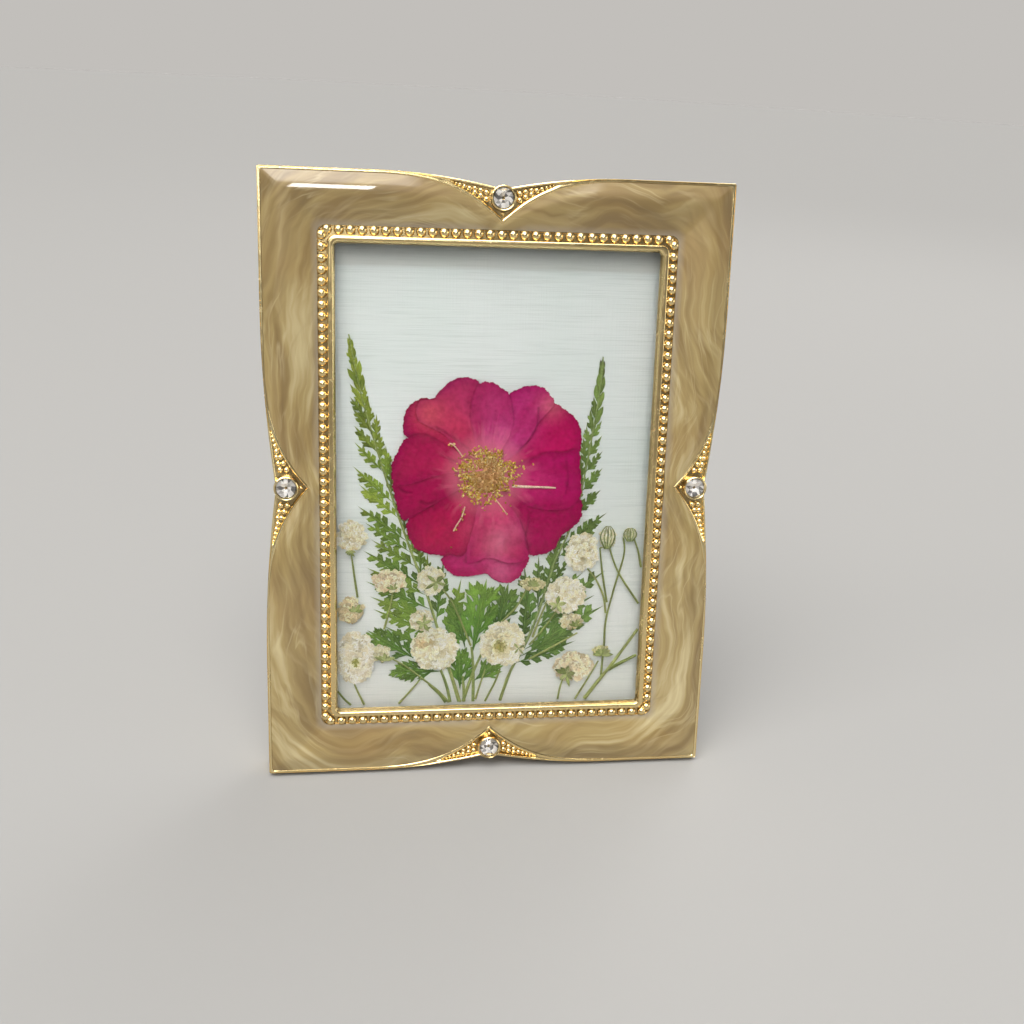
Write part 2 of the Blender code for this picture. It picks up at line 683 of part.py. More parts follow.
def rose(root):
    """The rose's petals and its heart of stamens."""
    pink = surface("rose_petal", (0.36, 0.01, 0.08, 1.0), 0.6)
    for name, (layer, outline) in PETALS.items():
        low = PETAL_LAYER + layer * LAYER_PITCH
        finish(pressed_solid([smooth_path(outline, 2, closed=True)], low, LEAF_THICK), name, pink, root)
    heart = []
    for n in range(26):
        radius = 6.9 if n % 2 else 4.9 + 0.5 * math.sin(3.1 * n)
        angle = 2 * math.pi * n / 26
        heart.append((ROSE_HEART[0] + radius * math.cos(angle), ROSE_HEART[1] + radius * math.sin(angle)))
    stamens = pressed_solid([heart], STAMEN_LAYER, 0.12, raised=(0,), raise_by=0.16)
    finish(stamens, "rose_stamens", surface("rose_stamens", STAMEN_GOLD, 0.8), root)


def fern(name, plan, root):
    """A fern frond: a midrib with leaflets that turn up towards the tip."""
    midrib = smooth_path(plan["midrib"], 4)
    run = [0.0]
    for here, there in zip(midrib, midrib[1:]):
        run.append(run[-1] + (there - here).length)
    outlines = [ribbon(plan["midrib"], 0.5, 1.1, 1), lobed_leaf(midrib[3], midrib[0], 1.2, 0)]
    for side, key in ((1, "left"), (-1, "right")):
        for distance, length in plan[key]:
            n = max(k for k in range(len(run) - 1) if run[k] <= distance)
            up = (midrib[n] - midrib[n + 1]).normalized()
            turn = math.radians(24 + 40 * distance / run[-1] + length) * side
            way = Vector((up.x * math.cos(turn) - up.y * math.sin(turn),
                          up.x * math.sin(turn) + up.y * math.cos(turn)))
            base = midrib[n] - way * 0.4
            lobes = 0 if length < 9 else 1 if length < 14 else 2
            outlines.append(lobed_leaf(base, base + way * length, 0.32 * length + 0.7, lobes))
    green = surface("fern_green", FERN_GREEN, 0.6)
    finish(pressed_solid(outlines, FERN_LAYER, LEAF_THICK), name, green, root)


def low_leaves(root):
    """The lobed leaves at the foot of the spray."""
    green = surface("leaf_green", LEAF_GREEN, 0.6)
    for name, (level, base, tip, width, lobes) in LOW_LEAVES.items():
        low = LEAF_LAYER + level * LOW_LEAF_PITCH
        leaf = pressed_solid([lobed_leaf(base, tip, width, lobes)], low, LOW_LEAF_THICK)
        finish(leaf, name, green, root)


def into_bloom(stem, centre, size):
    """A stem whose first point, where it starts at the bloom, is drawn well inside it."""
    start = Vector(stem[0])
    if (start - centre).length > 0.8 * size:
        return stem
    return [tuple(start.lerp(centre, 0.4))] + stem[1:]


def white_flowers(root):
    """Small white flowers and green buds, each one piece with its stem."""
    cream = surface("dried_white_petals", CREAM, 0.8)
    green = surface("dried_green_bud", BUD_GREEN, 0.7)
    for name, (level, bloom, stems) in WHITE_FLOWERS.items():
        low = STEM_LAYER + level * STEM_PITCH
        outlines, raised = [], ()
        if bloom:
            x, z, width, height = bloom
            stems = [into_bloom(stem, Vector((x, z)), max(width, height)) for stem in stems]
            outlines.append(
                [
                    (
                        x + width / 2 * (1 - 0.1 * (n % 2)) * math.cos(math.pi * n / 4),
                        z + height / 2 * (1 - 0.1 * (n % 2)) * math.sin(math.pi * n / 4),
                    )
                    for n in range(8)
                ]
            )
            raised = (0,)
        outlines += [ribbon(stem, 0.5, 0.6, 1) for stem in stems]
        solid = pressed_solid(outlines, low, STEM_THICK, raised, BLOOM_TOP - low - STEM_THICK)
        finish(solid, name, green if name.startswith("green") else cream, root)


def hinge_and_leg(root, hinge):
    """The bracket and pin on the backboard, and the easel leg that swings on the pin."""
    steel = surface("zinc_plated_steel", STEEL, 0.35, 1.0)
    velvet = surface("black_velvet", VELVET, 0.9)
    pin_back = hinge.location.y / MM
    base_front, base_back = BACKBOARD_BACK + 0.12, BACKBOARD_BACK + 0.92
    up = PIN_UP_THE_FRAME

    base = plain_loop(13.0, 9.0, 1.5)
    plate = stacked_solid([([(x, z + up) for x, z in base], d) for d in (base_front, base_back)])
    bracket = finish(plate, "hinge_bracket", steel, root)
    ears = []
    for side in (-1, 1):
        half = [(-3.4, base_front + 0.2)] + [
            (-2.2 * math.cos(math.radians(a)), pin_back + 2.2 * math.sin(math.radians(a)))
            for a in range(0, 181, 30)
        ] + [(3.4, base_front + 0.2)]
        ears.append(extrude_x([(d, z + up) for z, d in half], side * 10.9, side * 12.1))
    cut_or_join(bracket, finish(joined(ears), "join_ears", steel, root), "UNION")
    bore = extrude_x([(pin_back + d, z + up) for z, d in circle((0, 0), 1.15, 10)], -14.0, 14.0)
    cut_or_join(bracket, finish(bore, "cut_ear_bores", steel, root), "DIFFERENCE")

    shaft = extrude_x([(pin_back + d, z + up) for z, d in circle((0, 0), 0.95, 10)], -12.9, 12.9)
    pin = finish(shaft, "hinge_pin", steel, root)
    heads = [
        extrude_x([(pin_back + d, z + up) for z, d in circle((0, 0), 1.6, 10)], side * 12.35, side * 13.1)
        for side in (-1, 1)
    ]
    cut_or_join(pin, finish(joined(heads), "join_pin_heads", steel, root), "UNION")

    # The knuckle and the leg are drawn closed, about the pin, and the hinge's empty opens them
    strap = [(1.3, 0.0), (2.0, 0.0), (2.0, -15.0), (1.3, -15.0)]
    barrel = finish(extrude_x(circle((0, 0), 1.95, 12), -10.6, 10.6), "leg_knuckle", steel, hinge)
    open_turn = math.radians(LEG_OPEN_DEG)
    stop_front = -(pin_back - base_back) + 0.15
    tail = [(stop_front, 0.0), (stop_front + 0.8, 0.0), (stop_front + 0.8, 5.0), (stop_front, 5.0)]
    tail = [
        (d * math.cos(open_turn) + z * math.sin(open_turn), z * math.cos(open_turn) - d * math.sin(open_turn))
        for d, z in tail
    ]
    plates = [extrude_x(strap, -7.5, 7.5), extrude_x(tail, -7.5, 7.5)]
    cut_or_join(barrel, finish(joined(plates), "join_strap", steel, hinge), "UNION")
    knuckle_bore = finish(extrude_x(circle((0, 0), 1.15, 10), -14.0, 14.0), "cut_knuckle", steel, hinge)
    cut_or_join(barrel, knuckle_bore, "DIFFERENCE")

    length = leg_length()
    plan = [(-8.6, -2.6), (8.6, -2.6), (15.5, -length - 3), (-15.5, -length - 3)]
    leg = stacked_solid([(plan, -1.15), (plan, 1.15)])
    slope = math.radians(LEG_OPEN_DEG - LEAN_DEG)
    floor_up = Vector((0.0, math.sin(slope), math.cos(slope)))
    cut = bmesh.ops.bisect_plane(
        leg,
        geom=leg.verts[:] + leg.edges[:] + leg.faces[:],
        plane_co=Vector((0.0, 0.0, -length)),
        plane_no=-floor_up,
        clear_outer=True,
    )
    rim = [item for item in cut["geom_cut"] if isinstance(item, bmesh.types.BMEdge)]
    bmesh.ops.holes_fill(leg, edges=rim, sides=0)
    finish(leg, "easel_leg", velvet, hinge)

    for name, x, z in (("leg_rivet_left", -4.5, -10.5), ("leg_rivet_right", 4.5, -10.5)):
        levels = [(circle((x, z), 1.7, 10), 2.12), (circle((x, z), 0.9, 10), 2.8)]
        finish(stacked_solid(levels), name, steel, hinge)
    for name, x in (("bracket_rivet_left", -4.5), ("bracket_rivet_right", 4.5)):
        z = up + 7.0
        levels = [(circle((x, z), 1.3, 10), base_back + 0.1), (circle((x, z), 0.7, 10), base_back + 0.5)]
        finish(stacked_solid(levels), name, steel, root)


def extrude_x(profile, start, end):
    """A solid from a profile of (depth, height) points, drawn out across the frame."""
    bm = bmesh.new()
    near = [bm.verts.new((start, depth, height)) for depth, height in profile]
    face = bm.faces.new(near)
    grown = bmesh.ops.extrude_face_region(bm, geom=[face])["geom"]
    far = [item for item in grown if isinstance(item, bmesh.types.BMVert)]
    bmesh.ops.translate(bm, verts=far, vec=(end - start, 0.0, 0.0))
    return bm


def pin_depth():
    """How far the hinge pin lies behind the front rim."""
    return BACKBOARD_BACK + 0.92 + 2.15


def standing_height():
    """Height of the frame's own origin above the floor, when it leans back on its ground foot."""
    lean = math.radians(LEAN_DEG)
    return HALF_HEIGHT * math.cos(lean) + CASTING_DEPTH * math.sin(lean) - FOOT_CUT


def leg_length():
    """Distance from the pin to the floor, down the open leg."""
    lean, slope = math.radians(LEAN_DEG), math.radians(LEG_OPEN_DEG - LEAN_DEG)
    pin_height = standing_height() + PIN_UP_THE_FRAME * math.cos(lean) - pin_depth() * math.sin(lean)
    return pin_height / math.cos(slope)


def empty(name, location, rotation, parent=None):
    """An empty that carries pieces."""
    made = bpy.data.objects.new(name, None)
    bpy.context.scene.collection.objects.link(made)
    made.location = [value * MM for value in location]
    made.rotation_euler = rotation
    made.parent = parent
    return made


def centre_over_origin(root):
    """Slide the standing frame along Y, so that the world origin is the middle of its base."""
    bpy.context.view_layer.update()
    graph = bpy.context.evaluated_depsgraph_get()
    reach = []
    for item in bpy.data.objects:
        if item.type == "MESH" and not item.hide_render:
            shown = item.evaluated_get(graph)
            reach += [(shown.matrix_world @ vertex.co).y for vertex in shown.data.vertices]
    root.location.y = -(min(reach) + max(reach)) / 2


def main():
    """Build the whole frame."""
    clear_scene()
    lean = math.radians(LEAN_DEG)
    root = empty("standing_frame", (0.0, 0.0, standing_height()), (-lean, 0.0, 0.0))
    hinge = empty(
        "hinge_axis", (0.0, pin_depth(), PIN_UP_THE_FRAME), (math.radians(LEG_OPEN_DEG), 0.0, 0.0), root
    )
    frame_casting(root)
    enamel_inlay(root)
    for side, centre in accents().items():
        crystal("crystal_" + side, centre, root)
    width, height = LIP_HALF
    pane = (width + PANE_EDGE, height + PANE_EDGE)
    glass, silk = surface("clear_glass", CLEAR, 0.02), surface("silk_backing", SILK, 0.7)
    velvet = surface("black_velvet", VELVET, 0.9)
    slab("glass_pane", *pane, PANE_FRONT, PANE_FRONT + PANE_THICK, glass, root)
    slab("silk_card", *pane, SILK_FRONT, SILK_FRONT + SILK_CARD_THICK, silk, root)
    slab("backboard", *pane, BACKBOARD_FRONT, BACKBOARD_BACK, velvet, root)
    fern("fern_left", LEFT_FERN, root)
    fern("fern_right", RIGHT_FERN, root)
    low_leaves(root)
    rose(root)
    white_flowers(root)
    hinge_and_leg(root, hinge)
    centre_over_origin(root)


main()
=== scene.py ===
"""Looks of a standing photo frame that holds a pressed rose, ferns and small white flowers.

Every mesh is drawn in the frame's own plan, in millimetres: x to the right, y behind the plane of
the front rim and z up the frame. One matrix leans the plan back and sets it on the CAD's pane.
"""

import logging
import random
from collections.abc import Callable, Iterable, Sequence
from dataclasses import dataclass, field
from enum import Enum
from functools import partial
from math import atan2, copysign, cos, dist, exp, inf, pi, radians, sin, sqrt

import bmesh
import bpy
from mathutils import Euler, Matrix, Vector, kdtree, noise


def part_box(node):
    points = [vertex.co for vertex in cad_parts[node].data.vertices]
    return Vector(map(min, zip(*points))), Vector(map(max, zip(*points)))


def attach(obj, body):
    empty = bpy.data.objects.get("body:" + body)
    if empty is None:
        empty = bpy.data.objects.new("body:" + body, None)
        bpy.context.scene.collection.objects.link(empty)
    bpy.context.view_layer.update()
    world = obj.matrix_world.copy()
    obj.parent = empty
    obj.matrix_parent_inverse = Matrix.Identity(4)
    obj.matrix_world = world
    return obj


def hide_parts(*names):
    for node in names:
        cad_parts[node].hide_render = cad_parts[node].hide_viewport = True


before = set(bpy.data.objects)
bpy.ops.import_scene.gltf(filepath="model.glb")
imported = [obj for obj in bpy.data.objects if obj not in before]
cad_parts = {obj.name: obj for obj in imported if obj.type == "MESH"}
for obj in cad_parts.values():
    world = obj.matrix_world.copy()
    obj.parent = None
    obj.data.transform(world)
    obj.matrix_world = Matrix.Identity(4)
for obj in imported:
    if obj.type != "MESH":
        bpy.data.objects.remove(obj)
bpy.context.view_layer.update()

LOG = logging.getLogger("pressed_flower_frame")

LEAN = radians(-10.0)
PANE_MIDDLE_DEPTH = 2.55
Loop = list[Vector]
Spot = tuple[float, float]
Spot3 = tuple[float, float, float]
Links = dict[str, object]
Mesh = bmesh.types.BMesh
Material = bpy.types.Material
Tree = bpy.types.NodeTree
Node = bpy.types.Node
Adder = Callable[..., Node]
Stops = Sequence[tuple[float, str]]
BLEND: Links = {"data_type": "RGBA"}
STAIN: Links = {"data_type": "RGBA", "blend_type": "MULTIPLY"}


class Body(Enum):
    """The two bodies that pieces ride on."""

    FRAME = "frame"
    EASEL = "easel"


class Slot(Enum):
    """The record's material slots."""

    GOLD = "gold_plate"
    ENAMEL = "pearl_enamel"
    STONE = "cut_glass"
    SILK = "silk_backing"
    VELVET = "black_velvet"
    STEEL = "zinc_plated_steel"
    FERN = "fern_green"
    LEAF = "leaf_green"
    ROSE = "rose_petal"
    STAMENS = "rose_stamens"
    WHITE = "dried_white_petals"
    BUD = "dried_green_bud"


def plan_matrix() -> Matrix:
    """The matrix from the frame's plan in millimetres to the row frame in metres.

    Returns:
        The lean, the scale and the place, read off the CAD's glass pane.
    """
    low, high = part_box("glass_pane")
    turn = Matrix.Rotation(LEAN, 4, "X")
    middle = (Vector(low) + Vector(high)) / 2
    root = middle - turn @ Vector((0.0, PANE_MIDDLE_DEPTH / 1000, 0.0))
    return Matrix.Translation(root) @ turn @ Matrix.Scale(0.001, 4)


PLAN = plan_matrix()


def linear(code: str) -> tuple[float, float, float, float]:
    """An sRGB hex colour as linear numbers.

    Args:
        code: The colour as #RRGGBB.
    Returns:
        Red, green, blue and full alpha.
    """
    parts = [int(code[n : n + 2], 16) / 255 for n in (1, 3, 5)]
    red, green, blue = (c / 12.92 if c <= 0.04045 else ((c + 0.055) / 1.055) ** 2.4 for c in parts)
    return red, green, blue, 1.0


def blended(first: str, second: str, share: float) -> Vector:
    """A linear colour part of the way from one hex colour to another."""
    share = min(1.0, max(0.0, share))
    return Vector(linear(first)).lerp(Vector(linear(second)), share)


def smoothstep(low: float, high: float, value: float) -> float:
    """0 below low, 1 above high, and an even S between."""
    t = min(1.0, max(0.0, (value - low) / (high - low)))
    return t * t * (3 - 2 * t)


# Materials


def new_material(name: str) -> tuple[Material, Adder, Node]:
    """An empty Principled material.

    Args:
        name: The material's name.
    Returns:
        The material, the function that adds its nodes, and its shader.
    """
    made = bpy.data.materials.new(name)
    made.use_nodes = True
    return made, partial(add_node, made.node_tree), made.node_tree.nodes["Principled BSDF"]


def feed(node: Node, **inputs: object) -> None:
    """Give a node's inputs their values.

    Args:
        node: The node.
        inputs: By input name, with underscores for spaces, or by i and its number: a number, a hex
            colour, a socket to link, or a node whose first live output is linked.
    """
    for key, value in inputs.items():
        socket = node.inputs[int(key[1:]) if key[1:].isdigit() else key.replace("_", " ")]
        if isinstance(value, Node):
            value = next(out for out in value.outputs if out.enabled)
        if isinstance(value, bpy.types.NodeSocket):
            node.id_data.links.new(value, socket)
        else:
            socket.default_value = linear(value) if isinstance(value, str) else value


def add_node(tree: Tree, kind: str, settings: Links | str | Stops = (), **inputs: object) -> Node:
    """Add one node.

    Args:
        tree: The tree it goes into.
        kind: The node's type, without its ShaderNode prefix.
        settings: Properties and plain inputs of the node, or its operation, or a colour ramp's stops.
        inputs: What feeds its inputs.
    Returns:
        The node.
    """
    node = tree.nodes.new("ShaderNode" + kind)
    if isinstance(settings, str):
        node.operation = settings
    elif isinstance(settings, dict):
        for key, value in settings.items():
            if isinstance(key, int) or not hasattr(node, key):
                node.inputs[key].default_value = value
            else:
                setattr(node, key, value)
    else:
        for _ in settings[2:]:
            node.color_ramp.elements.new(0.5)
        for element, (position, code) in zip(node.color_ramp.elements if settings else (), settings):
            element.position, element.color = position, linear(code)
    feed(node, **inputs)
    return node


def plan_coordinates(add: Adder) -> Node:
    """Object coordinates turned back into the frame's plan, in millimetres."""
    back = PLAN.inverted()
    settings = {"Location": back.translation, "Rotation": (-LEAN, 0.0, 0.0), "Scale": (1000.0,) * 3}
    place = add("TexCoord").outputs["Object"]
    return add("Mapping", settings, Vector=place)


def laid_over(add: Adder, below: object, colour: str, stops: Stops, pattern: Node) -> Node:
    """Lay a colour over another, as thick as a pattern says.

    Args:
        add: The material's node function.
        below: What lies under the colour.
        colour: The colour.
        stops: Values of the pattern, each with the share of the colour there as a grey.
        pattern: The pattern.
    Returns:
        The mixed colour.
    """
    return add("Mix", BLEND, i0=add("ValToRGB", stops, Fac=pattern), i6=below, i7=colour)


@dataclass(frozen=True)
class GoldPlate:
    """Gold plating on a zinc casting: bright on the high places, with painted shade that makes the low ones
    dull and brown.
    """

    bright: str = "#F6E4B0"
    warm: str = "#E4C482"
    dark: str = "#6A4A1C"
    roughness: float = 0.19

    def material(self) -> Material:
        """Build the finish."""
        made, add, shader = new_material("gold_plated_zinc_cast")
        plan = plan_coordinates(add)
        feed(shader, Metallic=1.0)
        split = add("SeparateXYZ", Vector=plan)
        # Painted reflection: the plating is drawn redder round the window than on the rim
        reach = add("Math", "ABSOLUTE", i0=split.outputs["X"])
        side = add("MapRange", {1: 50.0, 2: 55.0, 3: 0.5, 4: 0.1}, Value=reach)
        tone = add("Mix", BLEND, i0=side, i6=self.bright, i7=self.warm)
        # Clouding of the bath, in patches of about 8 mm
        cloud = add("TexNoise", {"Scale": 0.12, "Detail": 3.0}, Vector=plan)
        tone = laid_over(add, tone, self.warm, [(0.42, "#000000"), (0.72, "#8A8A8A")], cloud)
        # Painted shade: the plating is drawn darker brown from 0.6 mm below the rim down
        depth = add("MapRange", {1: 0.6, 2: 0.95, 4: 0.55}, Value=split.outputs["Y"])
        back = add("MapRange", {1: 1.0, 2: 1.9, 3: 1.0, 4: 0.22}, Value=split.outputs["Y"])
        inside = add("MapRange", {1: 53.0, 2: 54.3, 3: 1.0, 4: 0.2}, Value=reach)
        low = add("Math", "MULTIPLY", i0=depth, i1=inside)
        recess_shade = add("Math", "MULTIPLY", i0=low, i1=back)
        feed(shader, Base_Color=add("Mix", BLEND, i0=recess_shade, i6=tone, i7=self.dark))
        # Casting skin of 0.3 mm grain under the polish
        skin = add("TexNoise", {"Scale": 3.0, "Detail": 3.0}, Vector=plan)
        rough = add("MapRange", {1: 0.3, 2: 0.7, 3: self.roughness - 0.03, 4: self.roughness + 0.1})
        feed(rough, i0=add("TexNoise", {"Scale": 0.5, "Detail": 3.0}, Vector=plan))
        feed(shader, Roughness=rough, Normal=add("Bump", {"Distance": 1.2e-05}, Height=skin))
        return made


@dataclass(frozen=True)
class PearlEnamel:
    """Resin enamel poured over mica paste: long pearly streaks under a wet clear gloss."""

    shade: str = "#6A5734"
    base: str = "#7A653C"
    light: str = "#917E50"
    pearl: str = "#B6A880"
    warm: str = "#8C6C3C"
    grey: str = "#8E8474"

    def material(self) -> Material:
        """Build the finish."""
        made, add, shader = new_material("pearl_enamel_poured")
        plan = plan_coordinates(add)
        flow = add("UVMap", {"uv_map": "Flow"})
        # Swirls some 20 mm across bend the streaks, and eddies of 7 mm curl them
        swirl = add("TexNoise", {"Scale": 0.05, "Detail": 0.0}, Vector=plan).outputs["Color"]
        push = add("VectorMath", "MULTIPLY_ADD", i0=swirl, i1=(20.0, 10.0, 6.0), i2=(-10.0, -5.0, 0.0))
        eddy = add("TexNoise", {"Scale": 0.15, "Detail": 1.0}, Vector=plan).outputs["Color"]
        curl = add("VectorMath", "MULTIPLY_ADD", i0=eddy, i1=(4.0, 1.6, 2.0), i2=(-2.0, -0.8, 0.0))
        bend = add("VectorMath", "ADD", i0=push, i1=curl)
        run = add("VectorMath", "ADD", i0=flow, i1=bend)

        def streaks(angle: float, length: float, width: float) -> Node:
            """Streaks of a length and width in millimetres, turned a little from the run of the band."""
            turned = {"vector_type": "TEXTURE", 2: (0.0, 0.0, angle), 3: (length, width, 12.0)}
            spot = add("Mapping", turned, Vector=run)
            return add("TexNoise", {"Scale": 1.0, "Roughness": 0.55}, Vector=spot)

        both = add("Mix", {0: 0.4}, i2=streaks(0.0, 40.0, 5.0))
        feed(both, i3=streaks(0.12, 22.0, 1.6))
        # Painted light: the enamel is drawn lighter from the top down, to even out the light that falls from
        # above
        split = add("SeparateXYZ", Vector=plan)
        painted_low_light = add("MapRange", {1: 30.0, 2: 62.0, 3: 0.095, 4: 0.0}, Value=split.outputs["Z"])
        mica = add("Math", "ADD", i0=both, i1=painted_low_light)
        stops = [(0.36, self.shade), (0.48, self.base), (0.6, self.light), (0.76, self.pearl)]
        tone = add("ValToRGB", stops, Fac=mica)
        dark, pale = streaks(-0.25, 20.0, 1.8), streaks(0.28, 19.0, 1.6)
        tone = laid_over(add, tone, self.shade, [(0.35, "#787878"), (0.47, "#000000")], dark)
        tone = laid_over(add, tone, self.pearl, [(0.54, "#000000"), (0.7, "#7C7C7C")], pale)
        # Threads of mica: where a second pull of the paste folds over itself
        fold = streaks(-0.12, 30.0, 2.4)
        off = add("Math", "SUBTRACT", i0=fold, i1=0.5)
        near = add("Math", "ABSOLUTE", i0=off)
        thread = add("MapRange", {2: 0.035, 3: 0.4, 4: 0.0}, Value=near)
        patch = add("TexNoise", {"Scale": 0.07}, Vector=plan)
        here = add("MapRange", {1: 0.45, 2: 0.62}, Value=patch)
        share = add("Math", "MULTIPLY", i0=thread, i1=here)
        tone = add("Mix", BLEND, i0=share, i6=tone, i7=self.pearl)
        drift = add("TexNoise", {"Scale": 0.045}, Vector=plan)
        tone = laid_over(add, tone, self.warm, [(0.45, "#000000"), (0.7, "#8A8A8A")], drift)
        # The pour thins towards the beads, where it looks grey
        thin = add("MapRange", {1: 0.4, 2: 0.86, 4: 0.7}, Value=split.outputs["Y"])
        tone = add("Mix", BLEND, i0=thin, i6=tone, i7=self.grey)
        feed(shader, Base_Color=tone, Roughness=0.42, Metallic=0.15, Coat_Weight=1.0, Coat_Roughness=0.02)
        feed(shader, Normal=add("Bump", {"Distance": 3e-05}, Height=both))
        return made


@dataclass(frozen=True)
class CutGlass:
    """Polished lead-free crystal glass, clear, with flat bright facets."""

    ior: float = 1.56

    def material(self) -> Material:
        """Build the finish."""
        made, add, shader = new_material("crystal_glass_cut")
        feed(shader, Transmission_Weight=1.0, IOR=self.ior)
        # Fine polishing haze in spots of 1 mm
        haze = add("TexNoise", {"Scale": 1.0, "Detail": 1.0}, Vector=plan_coordinates(add))
        rough = add("MapRange", {1: 0.3, 2: 0.8, 4: 0.02}, Value=haze)
        feed(shader, Roughness=rough)
        feed(shader, Base_Color=add("ValToRGB", [(0.3, "#FFFFFF"), (0.8, "#F6FAFC")], Fac=haze))
        return made


@dataclass(frozen=True)
class FoilBacking:
    """Silvered foil behind a stone: a mirror that the facets break up, with painted reflection in each
    facet's brightness.
    """

    tone: str = "#FFFBF8"

    def material(self) -> Material:
        """Build the finish."""
        made, add, shader = new_material("silver_foil_pressed")
        feed(shader, Metallic=0.1, Roughness=0.3)
        # Painted reflection: each facet stamped in the foil is drawn lighter or darker by its own share, for
        # the light it would mirror
        facet = add("Attribute", {"attribute_name": "Tint"})
        feed(shader, Base_Color=add("Mix", STAIN, i0=1.0, i6=facet, i7=self.tone))
        return made


@dataclass(frozen=True)
class ClearGlass:
    """Coated picture glass: clear and dead flat, with a low IOR so that it mirrors little."""

    ior: float = 1.25

    def material(self) -> Material:
        """Build the finish."""
        made, add, shader = new_material("picture_glass_coated")
        feed(shader, Transmission_Weight=1.0, IOR=self.ior, Roughness=0.0)
        smear = add("TexNoise", {"Scale": 0.04}, Vector=plan_coordinates(add))
        feed(shader, Base_Color=add("ValToRGB", [(0.3, "#FFFFFF"), (0.7, "#FBFDFC")], Fac=smear))
        return made


@dataclass(frozen=True)
class SlubSilk:
    """Pale dupion silk stretched over card: slubbed weft across, fine even warp, a low sheen."""

    upper: str = "#D5DBD8"
    lower: str = "#DEDFD9"
    slub: str = "#B2BAB4"
    shine: str = "#E2E5E3"
    lip_shadow: str = "#A9A296"

    def material(self) -> Material:
        """Build the finish."""
        made, add, shader = new_material("dupion_silk_woven")
        plan = plan_coordinates(add)
        split = add("SeparateXYZ", Vector=plan)
        # Painted light: the silk is drawn a little lighter towards the bottom
        fall = add("MapRange", {1: -58.0, 2: 10.0}, Value=split.outputs["Z"])
        ground = add("Mix", BLEND, i0=fall, i6=self.lower, i7=self.upper)
        # Picks lie 0.25 mm apart, as in real dupion, and slubs are some 0.7 mm wide
        across = add("Mapping", {"Scale": (0.07, 1.0, 4.0)}, Vector=plan)
        weft = add("TexNoise", {"Scale": 1.0, "Detail": 3.0, "Roughness": 0.6}, Vector=across)
        longer = add("Mapping", {"Scale": (0.035, 1.0, 1.5)}, Vector=plan)
        slubs = add("TexNoise", {"Scale": 1.0}, Vector=longer)
        upright = add("Mapping", {"Scale": (2.5, 1.0, 0.06)}, Vector=plan)
        warp = add("TexNoise", {"Scale": 1.0, "Detail": 1.0}, Vector=upright)
        threads = add("Mix", {0: 0.3}, i2=weft, i3=slubs)
        tone = laid_over(add, ground, self.slub, [(0.38, "#9A9A9A"), (0.5, "#000000")], threads)
        tone = laid_over(add, tone, self.shine, [(0.55, "#000000"), (0.64, "#909090")], threads)
        # Painted shadow: the top 6 mm under the lip are drawn darker and browner, as the lip's shadow
        lip_shadow_band = add("MapRange", {1: 53.4, 2: 54.4, 4: 0.3}, Value=split.outputs["Z"])
        tone = add("Mix", BLEND, i0=lip_shadow_band, i6=tone, i7=self.lip_shadow)
        feed(shader, Base_Color=tone, Roughness=0.55, Sheen_Weight=0.25)
        weave = add("Mix", {0: 0.3}, i2=threads, i3=warp)
        feed(shader, Normal=add("Bump", {"Distance": 0.0001}, Height=weave))
        return made


@dataclass(frozen=True)
class FlockedVelvet:
    """Black nylon flock on board: deep matt pile that greys where it is brushed."""

    pile: str = "#0D0D10"
    brushed: str = "#1D1D22"
    tuft_shade: str = "#050506"
    sheen: str = "#8A8A96"

    def material(self) -> Material:
        """Build the finish."""
        made, add, shader = new_material("black_velvet_flocked")
        plan = plan_coordinates(add)
        brush = add("TexNoise", {"Scale": 0.06, "Detail": 3.0, "Distortion": 1.2}, Vector=plan)
        # Tufts are under 0.1 mm, drawn at 0.35 mm so that they show
        tuft = add("TexNoise", {"Scale": 2.8}, Vector=plan)
        tone = laid_over(add, self.pile, self.brushed, [(0.45, "#000000"), (0.7, "#9A9A9A")], brush)
        # Painted shade: the hollows between tufts are drawn darker
        tone = laid_over(add, tone, self.tuft_shade, [(0.35, "#6A6A6A"), (0.6, "#000000")], tuft)
        feed(shader, Base_Color=tone, Roughness=0.95, Sheen_Weight=0.6, Sheen_Roughness=0.4)
        feed(shader, Sheen_Tint=linear(self.sheen), Normal=add("Bump", {"Distance": 0.00012}, Height=tuft))
        return made


@dataclass(frozen=True)
class ZincSteel:
    """Zinc-plated steel strip: grey, faintly yellow, with rolling lines and small dull spots."""

    tone: str = "#B9B7AE"

    def material(self) -> Material:
        """Build the finish."""
        made, add, shader = new_material("zinc_plated_steel_rolled")
        plan = plan_coordinates(add)
        feed(shader, Metallic=1.0)
        rolled = add("Mapping", {"Scale": (0.2, 4.0, 4.0)}, Vector=plan)
        lines = add("TexNoise", {"Scale": 1.0}, Vector=rolled)
        spots = add("TexNoise", {"Scale": 0.6, "Detail": 3.0}, Vector=plan)
        tone = add("ValToRGB", [(0.35, "#9C9A92"), (0.6, self.tone), (0.8, "#C9C6B8")], Fac=spots)
        feed(shader, Base_Color=tone)
        rough = add("MapRange", {1: 0.3, 2: 0.7, 3: 0.26, 4: 0.46}, Value=spots)
        feed(shader, Roughness=rough, Normal=add("Bump", {"Distance": 1e-05}, Height=lines))
        return made


@dataclass(frozen=True)
class PaleFloor:
    """The studio floor: matt pale card, greyer from half a metre in front of the object on."""

    near: str = "#8E8D8B"
    front: str = "#6A6967"

    def material(self) -> Material:
        """Build the finish."""
        made, add, shader = new_material("pale_card_matt")
        place = add("TexCoord").outputs["Object"]
        split = add("SeparateXYZ", Vector=place)
        ahead = add("MapRange", {1: -0.3, 2: -1.1}, Value=split.outputs["Y"])
        feed(shader, Base_Color=add("Mix", BLEND, i0=ahead, i6=self.near, i7=self.front), Roughness=1.0)
        feed(shader, Specular_IOR_Level=0.0)
        return made


# Meshes


